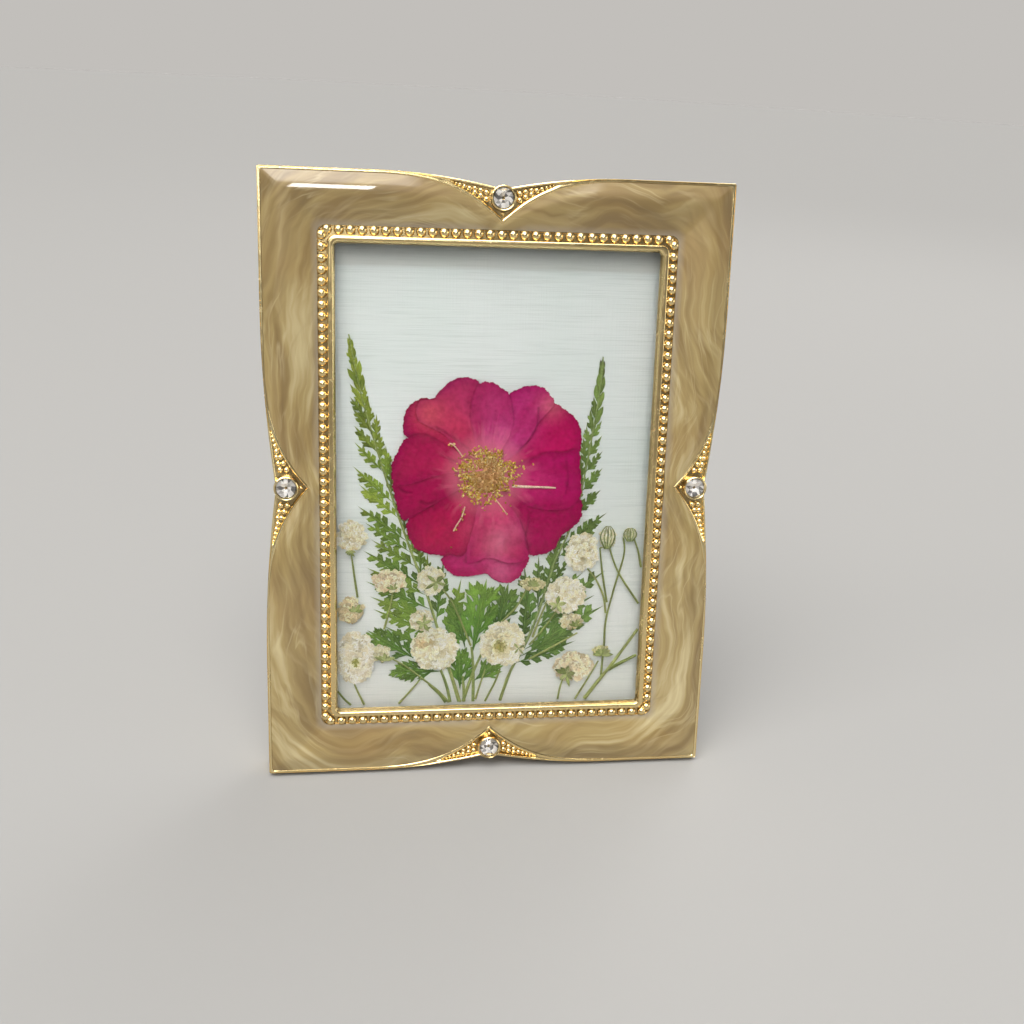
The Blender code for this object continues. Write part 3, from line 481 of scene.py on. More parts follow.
def mapped_grid(
    across: int,
    along: int,
    place: Callable[[int, int], Vector],
    flow: Callable[[int, int], Spot] = lambda i, j: (i, j),
) -> Mesh:
    """A grid whose corners go where a rule says, and are merged where they meet.

    Args:
        across: Cells in the first direction.
        along: Cells in the second direction.
        place: Gives corner (i, j) its plan position.
        flow: Gives corner (i, j) its place in the UV map "Flow".
    Returns:
        The mesh.
    """
    bm = bmesh.new()
    bmesh.ops.create_grid(bm, x_segments=across, y_segments=along, size=1.0)
    layer = bm.loops.layers.uv.new("Flow")
    spots = {v: (round((v.co.x + 1) / 2 * across), round((v.co.y + 1) / 2 * along)) for v in bm.verts}
    for face in bm.faces:
        for loop in face.loops:
            loop[layer].uv = flow(*spots[loop.vert])
    for vert, (i, j) in spots.items():
        vert.co = place(i, j)
    bmesh.ops.remove_doubles(bm, verts=bm.verts, dist=1e-4)
    bmesh.ops.dissolve_degenerate(bm, dist=1e-5, edges=bm.edges)
    bmesh.ops.recalc_face_normals(bm, faces=bm.faces)
    return bm


def closed(bm: Mesh) -> Mesh:
    """Close a mesh's open rims and turn its faces outwards."""
    bmesh.ops.holes_fill(bm, edges=[edge for edge in bm.edges if edge.is_boundary], sides=0)
    bmesh.ops.recalc_face_normals(bm, faces=bm.faces)
    return bm


def cut(bm: Mesh, spot: Vector, outwards: Vector) -> Mesh:
    """Cut away what lies outwards of a plane through a spot, and close the cut."""
    everything = [*bm.verts, *bm.edges, *bm.faces]
    bmesh.ops.bisect_plane(bm, geom=everything, plane_co=spot, plane_no=outwards, clear_outer=True)
    return closed(bm)


def softened(bm: Mesh, edges: Iterable[bmesh.types.BMEdge], size: float, segments: int = 3) -> Mesh:
    """Round some of a mesh's edges off, by a size in millimetres."""
    bmesh.ops.bevel(
        bm, geom=list(edges), offset=size, affect="EDGES", segments=segments, profile=0.5, material=-1
    )
    return bm


def mesh_data(bm: Mesh, name: str) -> bpy.types.Mesh:
    """Turn a bmesh into mesh data, and free it."""
    mesh = bpy.data.meshes.new(name)
    bm.to_mesh(mesh)
    bm.free()
    return mesh


def placed(name: str, data: bpy.types.ID) -> bpy.types.Object:
    """Put data into the scene as an object."""
    made = bpy.data.objects.new(name, data)
    bpy.context.scene.collection.objects.link(made)
    return made


def merged(parts: Iterable[Mesh]) -> Mesh:
    """Several meshes as one, with their shells kept apart."""
    whole = bmesh.new()
    for part in parts:
        mesh = mesh_data(part, "part")
        whole.from_mesh(mesh)
        bpy.data.meshes.remove(mesh)
    return whole


def add_piece(
    bm: Mesh,
    name: str,
    material: Material,
    slot: Slot,
    replaces: Sequence[str] = (),
    body: Body = Body.FRAME,
    smooth: float | None = 35.0,
    to_world: Matrix | None = None,
) -> None:
    """Turn a plan mesh into a finished piece in the row frame.

    Args:
        bm: The mesh, in plan millimetres.
        name: The piece's name.
        material: Its finish.
        slot: The record's slot that the finish belongs to; not used.
        replaces: CAD nodes that it stands for.
        body: The body that it rides on.
        smooth: The angle under which edges are smoothed, or None for flat facets.
        to_world: The matrix into the row frame, if it isn't the frame's own.
    """
    bm.transform(to_world or PLAN)
    mesh = mesh_data(bm, name)
    if smooth is not None:
        mesh.shade_smooth()
        mesh.set_sharp_from_angle(angle=radians(smooth))
    made = placed(name, mesh)
    mesh.materials.append(material)
    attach(made, body.value)
    if replaces:
        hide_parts(*replaces)
    LOG.info("%s: %d faces", name, len(mesh.polygons))


def bead(spot: Spot, radius: float, depth: float, squash: float = 1.0, sides: int = 12) -> Mesh:
    """The front half of a round bead.

    Args:
        spot: Its centre in plan.
        radius: Its radius.
        depth: Its centre's depth.
        squash: Its height over its radius.
        sides: Segments round it.
    Returns:
        The mesh.
    """
    bm = bmesh.new()
    bmesh.ops.create_uvsphere(bm, u_segments=sides, v_segments=8, radius=radius)
    bmesh.ops.delete(bm, geom=[v for v in bm.verts if v.co.z < -0.4 * radius], context="VERTS")
    turn = Matrix.Rotation(pi / 2, 4, "X") @ Matrix.Diagonal((1.0, 1.0, squash, 1.0))
    bm.transform(Matrix.Translation((spot[0], depth, spot[1])) @ turn)
    return closed(bm)


def board(width: float, height: float, front: float, back: float, corner: float, soft: float) -> Mesh:
    """A flat board, centred in plan.

    Args:
        width: Its width.
        height: Its height.
        front: Depth of its front.
        back: Depth of its back.
        corner: Radius of its four corners.
        soft: How far its edges are rounded off, or 0.
    Returns:
        The mesh.
    """
    bm = bmesh.new()
    bmesh.ops.create_cube(bm, size=1.0)
    size = Matrix.Diagonal((width, back - front, height, 1))
    bm.transform(Matrix.Translation((0, (front + back) / 2, 0)) @ size)
    upright = [e for e in bm.edges if abs((e.verts[0].co - e.verts[1].co).y) > 0.5 * (back - front)]
    softened(bm, upright, corner, 6)
    if soft:
        softened(bm, (e for e in bm.edges if abs((e.verts[0].co - e.verts[1].co).y) < 1e-6), soft)
    return closed(bm)


def rod(radius: float, start: float, end: float, soft: float = 0.15) -> Mesh:
    """A round bar along x.

    Args:
        radius: Its radius.
        start: Where it starts on x.
        end: Where it ends.
        soft: How far its ends are rounded off.
    Returns:
        The mesh.
    """
    bm = bmesh.new()
    bmesh.ops.create_cone(bm, cap_ends=True, segments=32, radius1=radius, radius2=radius, depth=end - start)
    softened(bm, (e for e in bm.edges if abs(e.verts[0].co.z - e.verts[1].co.z) < 1e-6), soft, 2)
    bm.transform(Matrix.Translation(((start + end) / 2, 0, 0)) @ Matrix.Rotation(pi / 2, 4, "Y"))
    return bm


# The frame's outlines


@dataclass(frozen=True)
class Dip:
    """How one side of an edge sinks towards the accent at its middle."""

    reach: float
    depth: float
    power: float

    def at(self, distance: float) -> float:
        """The dip at a distance from the middle of the side."""
        return self.depth * max(0.0, 1.0 - distance / self.reach) ** self.power


@dataclass(frozen=True)
class Outlines:
    """The loops of the frame's plan. All have the same stations, clockwise from the top middle."""

    half_width: float = 57.5
    half_height: float = 76.0
    rim: float = 0.8
    lip_half: Spot = (41.0, 60.2)
    outer_top: Dip = Dip(30.0, 3.3, 2.0)
    outer_side: Dip = Dip(45.0, 3.0, 2.0)
    enamel_top: Dip = Dip(32.0, 10.6, 2.8)
    enamel_side: Dip = Dip(36.0, 10.5, 3.1)
    across: tuple[float, ...] = tuple(0.8 * n for n in range(41)) + (36.0, 44.0, 50.0, 53.0, 55.0)
    down: tuple[float, ...] = (72.5, 70.0, 66.0, 60.0, 53.0, 47.0) + tuple(45 - 0.9 * n for n in range(51))
    corner_steps: int = 8

    def _round(self, quarter: list[Spot]) -> list[Spot]:
        """Mirror a quarter from the top middle to the right middle into a loop, closed by its start."""
        right = quarter + [(x, -z) for x, z in reversed(quarter[:-1])]
        return right + [(-x, z) for x, z in reversed(right[:-1])]

    def _corner(self, x: float, z: float, radius: float) -> list[Spot]:
        """A quarter turn inside a top right corner."""
        turn = [pi / 2 * (1 - n / self.corner_steps) for n in range(self.corner_steps + 1)]
        return [(x - radius + radius * cos(a), z - radius + radius * sin(a)) for a in turn]

    def _edge(self, inset: float, top: Dip, side: Dip, radius: float) -> list[Spot]:
        """A loop set in from the casting's box, with its dips."""
        width, height = self.half_width - inset, self.half_height - inset
        quarter = [(x, height - top.at(x)) for x in self.across]
        quarter += self._corner(width, height, radius)
        quarter += [(width - side.at(z), z) for z in self.down]
        return self._round(quarter)

    def outer(self, inset: float = 0.0) -> list[Spot]:
        """The casting's outline, set in."""
        return self._edge(inset, self.outer_top, self.outer_side, 0.5)

    def enamel(self, inset: float = 0.0) -> list[Spot]:
        """The enamel's outer edge, set in."""
        return self._edge(self.rim + inset, self.enamel_top, self.enamel_side, 0.7)

    def lip(self, out: float) -> list[Spot]:
        """A rounded rectangle, a set distance outside the sight edge."""
        return self.box(self.lip_half[0] + out, self.lip_half[1] + out, max(0.3, 2.0 + min(0.0, out)))

    def box(self, width: float, height: float, radius: float) -> list[Spot]:
        """A rounded rectangle of a half width, a half height and a corner radius."""
        along, up = (width - radius) / self.across[-1], (height - radius) / self.down[0]
        quarter = [(x * along, height) for x in self.across]
        quarter += self._corner(width, height, radius)
        quarter += [(width, z * up) for z in self.down]
        return self._round(quarter)


PLANS = Outlines()

# The stones' middles in plan
SEATS = {"top": (0.0, 70.6), "bottom": (0.0, -70.6), "right": (52.0, 0.0), "left": (-52.0, 0.0)}


def between(first: Spot, second: Spot, share: float) -> Spot:
    """A point part of the way from one to another."""
    return first[0] + (second[0] - first[0]) * share, first[1] + (second[1] - first[1]) * share


def ring_mesh(columns: Sequence[Sequence[Spot3]]) -> Mesh:
    """A closed ring through columns of stations.

    Args:
        columns: Each column's stations as (x, depth, z), the last the same as the first.
    Returns:
        The mesh.
    """
    rows = [*columns, columns[0]]
    return mapped_grid(len(rows[0]) - 1, len(rows) - 1, lambda i, j: Vector(rows[j][i]))


def above_floor(bm: Mesh) -> Mesh:
    """Cut a closed mesh level with the floor that the frame stands on, and close the cut."""
    to_plan = PLAN.inverted()
    up = (to_plan.to_3x3() @ Vector((0, 0, 1))).normalized()
    return cut(bm, to_plan @ Vector((0, 0, 1e-5)), -up)


def level(loop: Sequence[Spot], depth: float) -> list[Spot3]:
    """A loop at one depth."""
    return [(x, depth, z) for x, z in loop]


@dataclass
class GoldCasting:
    """The cast frame: outer wall, rim, arms, bead channel, lip, back and lugs."""

    depth: float = 8.2
    arm_floor: float = 1.0
    pocket_floor: float = 1.6
    bead_floor: float = 1.3
    ridge: float = 0.85
    lip_back: float = 1.8
    rebate: Spot = (44.3, 64.2)
    slope: float = 1.2
    rim_band: Spot = (0.75, 0.6)
    inner_band: Spot = (1.35, 1.0)
    arm_reach: Spot = (40.0, 46.0)
    channel_reach: Spot = (12.7, 14.4)
    bead_band: float = 3.9
    bead_pitch: float = 2.73
    bead_radius: float = 1.2
    bead_row: float = 1.92
    pearl_radius: float = 0.4
    pearl_row: float = 0.94
    row_corner: float = 1.6
    lug: Spot = (3.6, 8.0)
    lug_depths: Spot = (7.52, 8.1)
    lug_up: float = 42.0

    def arm_columns(self) -> list[list[Spot3]]:
        """The front between the outline and the enamel: rims, and the arms' sunk channels."""
        outer, inner = PLANS.outer(), PLANS.enamel()
        # (distance, drop) across a rim's band as drawn, where a drop of 1 is the channel's floor
        drawn, rim_end, enamel_end = 0.75, 0.78, 0.8
        from_rim = ((0.1, 0.08), (0.25, 0.0), (0.42, 0.0), (0.6, 0.12), (0.7, 1.0))
        from_enamel = (
            (0.72, 1.0), (0.62, 0.3), (0.5, 0.12), (0.38, 0.02), (0.28, 0.0), (0.14, 0.02), (0.0, 0.14),
        )
        flats = (0.25, 0.5, 0.75)
        columns: list[list[Spot3]] = [[] for _ in (*from_rim, *flats, *from_enamel)]
        for a, b in zip(outer, inner):
            wide = dist(a, b)
            on_top = abs(b[1]) > PLANS.lip_half[1] + self.bead_band and abs(a[0]) < self.arm_reach[0]
            on_side = abs(b[0]) > PLANS.lip_half[0] + self.bead_band and abs(a[1]) < self.arm_reach[1]
            kind = 0 if on_top else 1
            fade = 0.0
            if on_top or on_side:
                fade = 1 - smoothstep(self.channel_reach[kind] - 0.9, self.channel_reach[kind], abs(a[kind]))
            bands = self.rim_band[kind] / drawn, self.inner_band[kind] / drawn
            room = min(1.0, wide / (rim_end * bands[0] + enamel_end * bands[1] + 0.02))
            floor = self.arm_floor * fade
            low = smoothstep(0.9, 2.4, wide)
            spots = [(off * bands[0] * room, floor if drop == 1.0 else drop) for off, drop in from_rim]
            start, stop = rim_end * bands[0] * room, wide - enamel_end * bands[1] * room
            spots += [(start + (stop - start) * share, floor) for share in flats]
            for off, drop in from_enamel:
                sunk = floor if drop == 1.0 else drop * (low * max(fade, 0.35) if off > 0.3 else 1.0)
                spots.append((wide - off * bands[1] * room, sunk))
            for column, (off, drop) in zip(columns, spots):
                x, z = between(a, b, off / wide)
                column.append((x, drop, z))
        return columns

    def shell(self) -> Mesh:
        """The casting as one closed ring."""
        columns = [
            level(PLANS.outer(0.3), self.depth),
            level(PLANS.outer(0.0), self.depth - 0.3),
            level(PLANS.outer(0.0), 0.35),
            level(PLANS.outer(0.03), 0.14),
        ]
        columns += self.arm_columns()
        columns.append(level(PLANS.enamel(0.0), self.pocket_floor))
        front = (
            (3.0, self.pocket_floor), (2.98, self.ridge + 0.1), (2.9, self.ridge), (2.8, self.ridge),
            (2.72, self.ridge + 0.08), (2.64, self.bead_floor), (0.72, self.bead_floor), (0.65, 0.75),
            (0.58, 0.22), (0.46, 0.05), (0.3, 0.0), (-0.4, 0.0), (-0.54, 0.05), (-0.64, 0.17),
            (0.08 - self.slope, 1.16), (-self.slope, 1.3), (-self.slope, self.lip_back),
        )
        columns += [level(PLANS.lip(out), depth) for out, depth in front]
        for out, depth in ((0.0, self.lip_back), (0.0, self.depth - 0.15), (0.15, self.depth)):
            columns.append(level(PLANS.box(self.rebate[0] + out, self.rebate[1] + out, 1.2), depth))
        return above_floor(ring_mesh(columns))

    def bead_spots(self, out: float) -> list[Spot]:
        """Centres of a row of beads, a set distance outside the sight edge."""
        half_w, half_h = PLANS.lip_half[0] + out, PLANS.lip_half[1] + out
        # Both rows have as many beads as one at this distance would
        counted = 2.225
        corner = self.row_corner - (counted - out)
        full_w, full_h = (half + counted - self.row_corner for half in PLANS.lip_half)
        across, down = round(2 * full_w / self.bead_pitch), round(2 * full_h / self.bead_pitch)
        spots: list[Spot] = []
        for n in range(across + 1):
            x = -(half_w - corner) + 2 * (half_w - corner) * n / across
            spots += [(x, half_h), (x, -half_h)]
        for n in range(down + 1):
            z = -(half_h - corner) + 2 * (half_h - corner) * n / down
            spots += [(half_w, z), (-half_w, z)]
        return spots

    def bead_border(self) -> Mesh:
        """The row of round beads, and the smaller pearling between it and the lip."""
        large = [bead(spot, self.bead_radius, 1.12, 0.92) for spot in self.bead_spots(self.bead_row)]
        small = [bead(spot, self.pearl_radius, 1.0, 1.1, 8) for spot in self.bead_spots(self.pearl_row)]
        return merged(large + small)

    def arm_nubs(self) -> Mesh:
        """Beads along the channels, smaller towards the tips, and one in each point."""
        nubs: list[Mesh] = []
        top, side = PLANS.outer_top, PLANS.outer_side
        stations = (
            (4.0, 0.76), (5.4, 0.72), (6.8, 0.66), (8.1, 0.7),
            (9.3, 0.6), (10.4, 0.52), (11.3, 0.44), (12.1, 0.36),
        )
        for n, (reach, radius) in enumerate(stations):
            for share in (0.3, 0.72) if n < 3 else (0.5,):
                high = PLANS.half_height - 0.75 - top.at(reach)
                low = PLANS.half_height - PLANS.rim + 1.2 - PLANS.enamel_top.at(reach)
                z = low + (high - low) * share
                along = reach * 1.12
                far = PLANS.half_width - 0.6 - side.at(along)
                near = PLANS.half_width - PLANS.rim + 0.9 - PLANS.enamel_side.at(along)
                x = near + (far - near) * share
                for spot in ((reach, z), (x, along)):
                    turned = [(spot[0] * sx, spot[1] * sz) for sx in (1, -1) for sz in (1, -1)]
                    nubs += [bead(each, radius, 0.8, 0.9, 10) for each in turned]
        for x, z in ((0.0, 66.9), (0.0, -66.9), (48.4, 0.0), (-48.4, 0.0)):
            nubs.append(bead((x, z), 0.42, 0.5, 1.0, 10))
        return merged(nubs)

    def bezels(self) -> Mesh:
        """Four turned cups that hold the stones, each with a rolled rim."""
        rolled = ((3.05, 1.9), (3.05, -0.35), (2.98, -0.64), (2.82, -0.75), (2.66, -0.69), (2.56, -0.5))
        section = ((0.6, 2.1), (0.6, 2.6), (2.6, 2.6), (2.95, 2.3), *rolled, (2.5, 0.3), (0.6, 2.1))
        cups = []
        for x, z in SEATS.values():
            bm = bmesh.new()
            chain = [bm.verts.new((radius, depth, 0.0)) for radius, depth in section]
            edges = [bm.edges.new(pair) for pair in zip(chain, chain[1:])]
            turn = {"cent": (0, 0, 0), "axis": (0, 1, 0), "angle": 2 * pi, "steps": 40}
            bmesh.ops.spin(bm, geom=chain + edges, use_merge=True, **turn)
            bmesh.ops.remove_doubles(bm, verts=bm.verts, dist=1e-4)
            bmesh.ops.recalc_face_normals(bm, faces=bm.faces)
            bm.transform(Matrix.Translation((x, 0, z)))
            cups.append(bm)
        return merged(cups)

    def lugs(self) -> Mesh:
        """Four peened lugs that hold the backboard in."""
        made = []
        for side in (-1, 1):
            for z in (-self.lug_up, self.lug_up):
                bm = board(*self.lug, *self.lug_depths, 1.2, 0.12)
                bm.transform(Matrix.Translation((side * (self.rebate[0] - 1.2), 0, z)))
                made.append(bm)
        return merged(made)

    def build(self) -> None:
        """Make and dress the casting's pieces."""
        gold = GoldPlate().material()
        add_piece(self.shell(), "gold_frame", gold, Slot.GOLD, ["frame_casting"], smooth=40)
        add_piece(self.bead_border(), "bead_border", gold, Slot.GOLD, smooth=60)
        add_piece(self.arm_nubs(), "arm_beads", gold, Slot.GOLD, smooth=60)
        add_piece(self.bezels(), "stone_bezels", gold, Slot.GOLD)
        add_piece(self.lugs(), "backboard_lugs", gold, Slot.GOLD)


@dataclass
class EnamelBorder:
    """The poured pearl enamel between the rim and the beads."""

    gap: float = 0.02
    under: float = 1.55
    crown: float = -0.8
    near_beads: float = 0.86
    mean_reach: float = 66.0

    def section(self, share: float, wide: float) -> float:
        """Depth of the pillow's surface at a share of the way from the rim to the beads."""
        # The flank is straight to 0.2 of the way, then rounds over to level at 0.34
        run = min(share, 0.2) + (0.07 - 0.5 * (0.34 - share) ** 2 / 0.14 if share > 0.2 else 0.0)
        swell = (0.02 - self.crown) * min(1.0, wide / 13.0) ** 3
        rise = min(run, 0.27) / 0.27 * swell
        fall = max(0.0, share - 0.34) / 0.66
        near = self.near_beads * min(1.0, 0.2 + wide / 9.0)
        top = 0.06 - (rise if share < 0.34 else swell)
        return top + (near - top) * (0.7 * fall**1.3 + 0.3 * fall**1.9)

    def mesh(self) -> Mesh:
        """The pillow, with a Flow map in millimetres round and across the band."""
        outer, inner = PLANS.enamel(self.gap), PLANS.lip(2.98)
        shares = [0.0, 0.04, 0.1, 0.16, 0.2, 0.23, 0.26, 0.3, 0.34]
        shares += [0.42, 0.5, 0.58, 0.66, 0.74, 0.82, 0.89, 0.95, 1.0]
        columns = [level(outer, self.under)]
        for share in shares:
            column: list[Spot3] = []
            for a, b in zip(outer, inner):
                x, z = between(a, b, share)
                column.append((x, self.section(share, dist(a, b)), z))
            columns.append(column)
        columns.append(level(inner, self.under))
        bm = ring_mesh(columns)
        flow = bm.loops.layers.uv["Flow"]
        for face in bm.faces:
            side = copysign(0.01, face.calc_center_median().x)
            for loop in face.loops:
                x, z = loop.vert.co.x, loop.vert.co.z
                # A fifth power bends the streaks softly round the corners
                reach = ((abs(x) / PLANS.half_width) ** 5 + (abs(z) / PLANS.half_height) ** 5) ** 0.2
                angle = atan2(x if abs(x) > 0.01 else side, z)
                loop[flow].uv = (self.mean_reach * angle, PLANS.half_width * reach)
        return bm

    def build(self) -> None:
        """Make and dress the enamel."""
        finish = PearlEnamel().material()
        add_piece(self.mesh(), "enamel_border", finish, Slot.ENAMEL, ["enamel_inlay"], smooth=50)


@dataclass
class Stones:
    """Four round brilliants, each over its silver foil."""

    radius: float = 2.45
    table_depth: float = -1.0
    culet_depth: float = 1.22
    twist: float = 0.2
    foil_gap: float = 0.05

    def rings(self) -> list[tuple[float, float, int, float]]:
        """Corners of the cut, as rings of (radius, depth, count, turn in steps)."""
        return [
            (0.0, self.table_depth, 1, 0.0),
            (0.6 * self.radius, -0.8, 8, 0.5),
            (self.radius, -0.24, 16, 0.0),
            (self.radius, -0.12, 16, 0.0),
            (0.5 * self.radius, 0.62, 8, 0.25),
            (0.0, self.culet_depth, 1, 0.0),
        ]

    def hull(self, rings: Sequence[tuple[float, float, int, float]], spot: Spot) -> Mesh:
        """The facets that close over rings of corners.

        Args:
            rings: The rings, as rings() gives them.
            spot: The stone's middle in plan.
        Returns:
            The mesh.
        """
        bm = bmesh.new()
        for radius, depth, count, turn in rings:
            for n in range(count):
                angle = 2 * pi * (n + turn) / count + self.twist
                bm.verts.new((spot[0] + radius * cos(angle), depth, spot[1] + radius * sin(angle)))
        bmesh.ops.convex_hull(bm, input=bm.verts)
        bmesh.ops.recalc_face_normals(bm, faces=bm.faces)
        return bm

    def foil(self, side: str, spot: Spot) -> Mesh:
        """The open cup of foil under a stone, each facet painted lighter or darker at random as painted
        reflection.
        """
        gap, below = self.foil_gap, self.rings()[3:]
        bm = self.hull([(max(0.0, radius - gap), depth - gap, *rest) for radius, depth, *rest in below], spot)
        lid = [face for face in bm.faces if abs(face.normal.y) > 0.99 and face.calc_center_median().y < 0]
        bmesh.ops.delete(bm, geom=lid, context="FACES")
        tint, rng = bm.loops.layers.float_color.new("Tint"), random.Random(side)
        for face in bm.faces:
            share = rng.choice((0.18, 0.5, 0.85, 1.0, 1.0))
            for loop in face.loops:
                loop[tint] = (share, share, share, 1.0)
        return bm

    def build(self) -> None:
        """Make and dress the stones and their foils."""
        glass, silver = CutGlass().material(), FoilBacking().material()
        for side, spot in SEATS.items():
            node = "crystal_" + side
            add_piece(self.hull(self.rings(), spot), "stone_" + side, glass, Slot.STONE, [node], smooth=None)
            add_piece(self.foil(side, spot), "foil_" + side, silver, Slot.STONE, smooth=None)


@dataclass
class Backing:
    """The pane, the silk card behind the flowers and the velvet board that closes the back."""

    pane_half: Spot = (44.15, 64.05)
    silk_front: float = 4.9
    card_thick: float = 0.7
    board_front: float = 5.7
    board_back: float = 7.4
    corner: float = 0.8

    def build(self, velvet: Material) -> None:
        """Make and dress the flat pieces."""
        glass = ClearGlass().material()
        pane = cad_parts["glass_pane"]
        pane.data.materials.clear()
        pane.data.materials.append(glass)
        LOG.info("glass_pane: the CAD's own")
        width, height = 2 * self.pane_half[0], 2 * self.pane_half[1]
        card = board(width, height, self.silk_front, self.silk_front + self.card_thick, self.corner, 0.12)
        add_piece(card, "silk_covered_card", SlubSilk().material(), Slot.SILK, ["silk_card"])
        back = board(width, height, self.board_front, self.board_back, self.corner, 0.4)
        add_piece(back, "velvet_backboard", velvet, Slot.VELVET, ["backboard"])


@dataclass
class Easel:
    """The hinge on the backboard and the leg that swings on it."""

    open_angle: float = radians(24.0)
    pin_depth: float = 10.47
    pin_up: float = 24.0
    plate: Spot = (26.0, 18.0)
    plate_depths: Spot = (7.52, 8.32)
    ear: Spot = (10.9, 12.1)
    ear_foot: float = 3.4
    ear_round: float = 2.2
    bore: float = 1.15
    pin_radius: float = 0.95
    pin_half: float = 12.9
    pin_head: float = 1.6
    head_reach: Spot = (12.35, 13.1)
    barrel: float = 1.95
    barrel_half: float = 10.6
    strap_half: float = 7.5
    strap: Spot = (1.3, 2.0)
    strap_long: float = 15.0
    leg_half: Spot = (8.6, 15.5)
    leg_top: float = -2.6
    leg_length: float = 100.8
    leg_spare: float = 3.0
    leg_thick: float = 2.3
    rivet_side: float = 4.5

    def hinge_matrix(self) -> Matrix:
        """Plan matrix of what swings with the leg."""
        at_pin = PLAN @ Matrix.Translation((0, self.pin_depth, self.pin_up))
        return at_pin @ Matrix.Rotation(self.open_angle, 4, "X")

    def bracket(self) -> Mesh:
        """The plate with its two folded ears, each bored for the pin."""
        plate = board(*self.plate, *self.plate_depths, 1.5, 0.12)
        plate.transform(Matrix.Translation((0, 0, self.pin_up)))
        foot = self.plate_depths[0] + 0.2 - self.pin_depth

        def profile(shrink: float) -> list[Spot]:
            """An ear's outline as (depth, height) about the pin."""
            turn = [pi * n / 20 for n in range(21)]
            edge = self.ear_round - shrink
            arc = [(edge * sin(a), -edge * cos(a)) for a in turn]
            wide = self.ear_foot - shrink
            return [(foot, -wide)] + arc + [(foot, wide * k / 2) for k in (2, 1, 0, -1, -2)]

        ears, soft = [], 0.18
        for side in (-1, 1):
            near, far = (side * value for value in self.ear)
            count = len(profile(0.0)) - 1
            hole = [pi * 2 * (n - 5.2) / count + pi / 2 for n in range(count + 1)]
            skins = [(near, None), (near, soft), (near + side * soft, 0.0)]
            skins += [(far - side * soft, 0.0), (far, soft), (far, None)]
            columns = []
            for x, shrink in skins:
                if shrink is None:
                    spots = [(self.bore * sin(a), -self.bore * cos(a)) for a in hole]
                else:
                    spots = profile(shrink)
                columns.append([(x, self.pin_depth + d, self.pin_up + h) for d, h in spots])
            ears.append(ring_mesh(columns))
        return merged([plate, *ears])

    def pin(self) -> Mesh:
        """The hinge pin with its two upset heads."""
        near, far = self.head_reach
        heads = [rod(self.pin_head, *ends, soft=0.3) for ends in ((-far, -near), (near, far))]
        whole = merged([rod(self.pin_radius, -self.pin_half, self.pin_half), *heads])
        whole.transform(Matrix.Translation((0, self.pin_depth, self.pin_up)))
        return whole

    def knuckle(self) -> Mesh:
        """The steel strap rolled round the pin, with its seam, and the tail that stops the leg."""
        rolled = []
        for radius, way in ((self.barrel, 1), (self.bore, -1)):
            turn = [radians(-78 + 336 * n / 40) for n in range(41)][::way]
            rolled += [(radius * cos(a), radius * sin(a)) for a in turn]
        rolled.append(rolled[0])
        half = self.barrel_half
        columns = [[(x, *spot) for spot in rolled] for x in (-half, half)]
        tube = closed(mapped_grid(len(rolled) - 1, 1, lambda i, j: Vector(columns[j][i])))
        strap = board(2 * self.strap_half, self.strap_long, *self.strap, 1.4, 0.1)
        strap.transform(Matrix.Translation((0, 0, -self.strap_long / 2)))
        stop_front = self.plate_depths[1] - self.pin_depth + 0.15
        tail = board(2 * self.strap_half, 5.0, stop_front, stop_front + 0.8, 0.8, 0.1)
        tail.transform(Matrix.Rotation(-self.open_angle, 4, "X") @ Matrix.Translation((0, 0, 2.5)))
        return closed(merged([tube, strap, tail]))

    def leg(self) -> Mesh:
        """The tapered leg: board under velvet, cut level with the floor at its foot."""
        whole, half = self.leg_length + self.leg_spare + self.leg_top, self.leg_thick / 2
        bm = board(2 * self.leg_half[0], whole, -half, half, 2.0, 0.0)
        middle = (self.leg_top - self.leg_length - self.leg_spare) / 2
        bm.transform(Matrix.Translation((0, 0, middle)))
        floor_up = Vector((0.0, sin(self.open_angle + LEAN), cos(self.open_angle + LEAN)))
        for vert in bm.verts:
            share = (self.leg_top - vert.co.z) / whole
            vert.co.x *= 1 + (self.leg_half[1] / self.leg_half[0] - 1) * share
        cut(bm, Vector((0.0, 0.0, -self.leg_length)), -floor_up)
        return closed(softened(bm, (edge for edge in bm.edges if edge.calc_face_angle(0) > 0.9), 0.3))

    def rivet(self, x: float, z: float, floor: float, radius: float, high: float) -> Mesh:
        """A domed rivet head that faces the back.

        Args:
            x: Its middle in plan.
            z: Its middle's height.
            floor: Depth of the face that it stands on.
            radius: Its radius.
            high: How far it stands out.
        Returns:
            The mesh.
        """
        bm = bead((0, 0), 1.0, 0.0, 1.0, 24)
        shape = Matrix.Diagonal((radius, -high, radius, 1.0))
        bm.transform(Matrix.Translation((x, floor, z)) @ shape)
        return cut(bm, Vector((0, floor, 0)), Vector((0, -1, 0)))

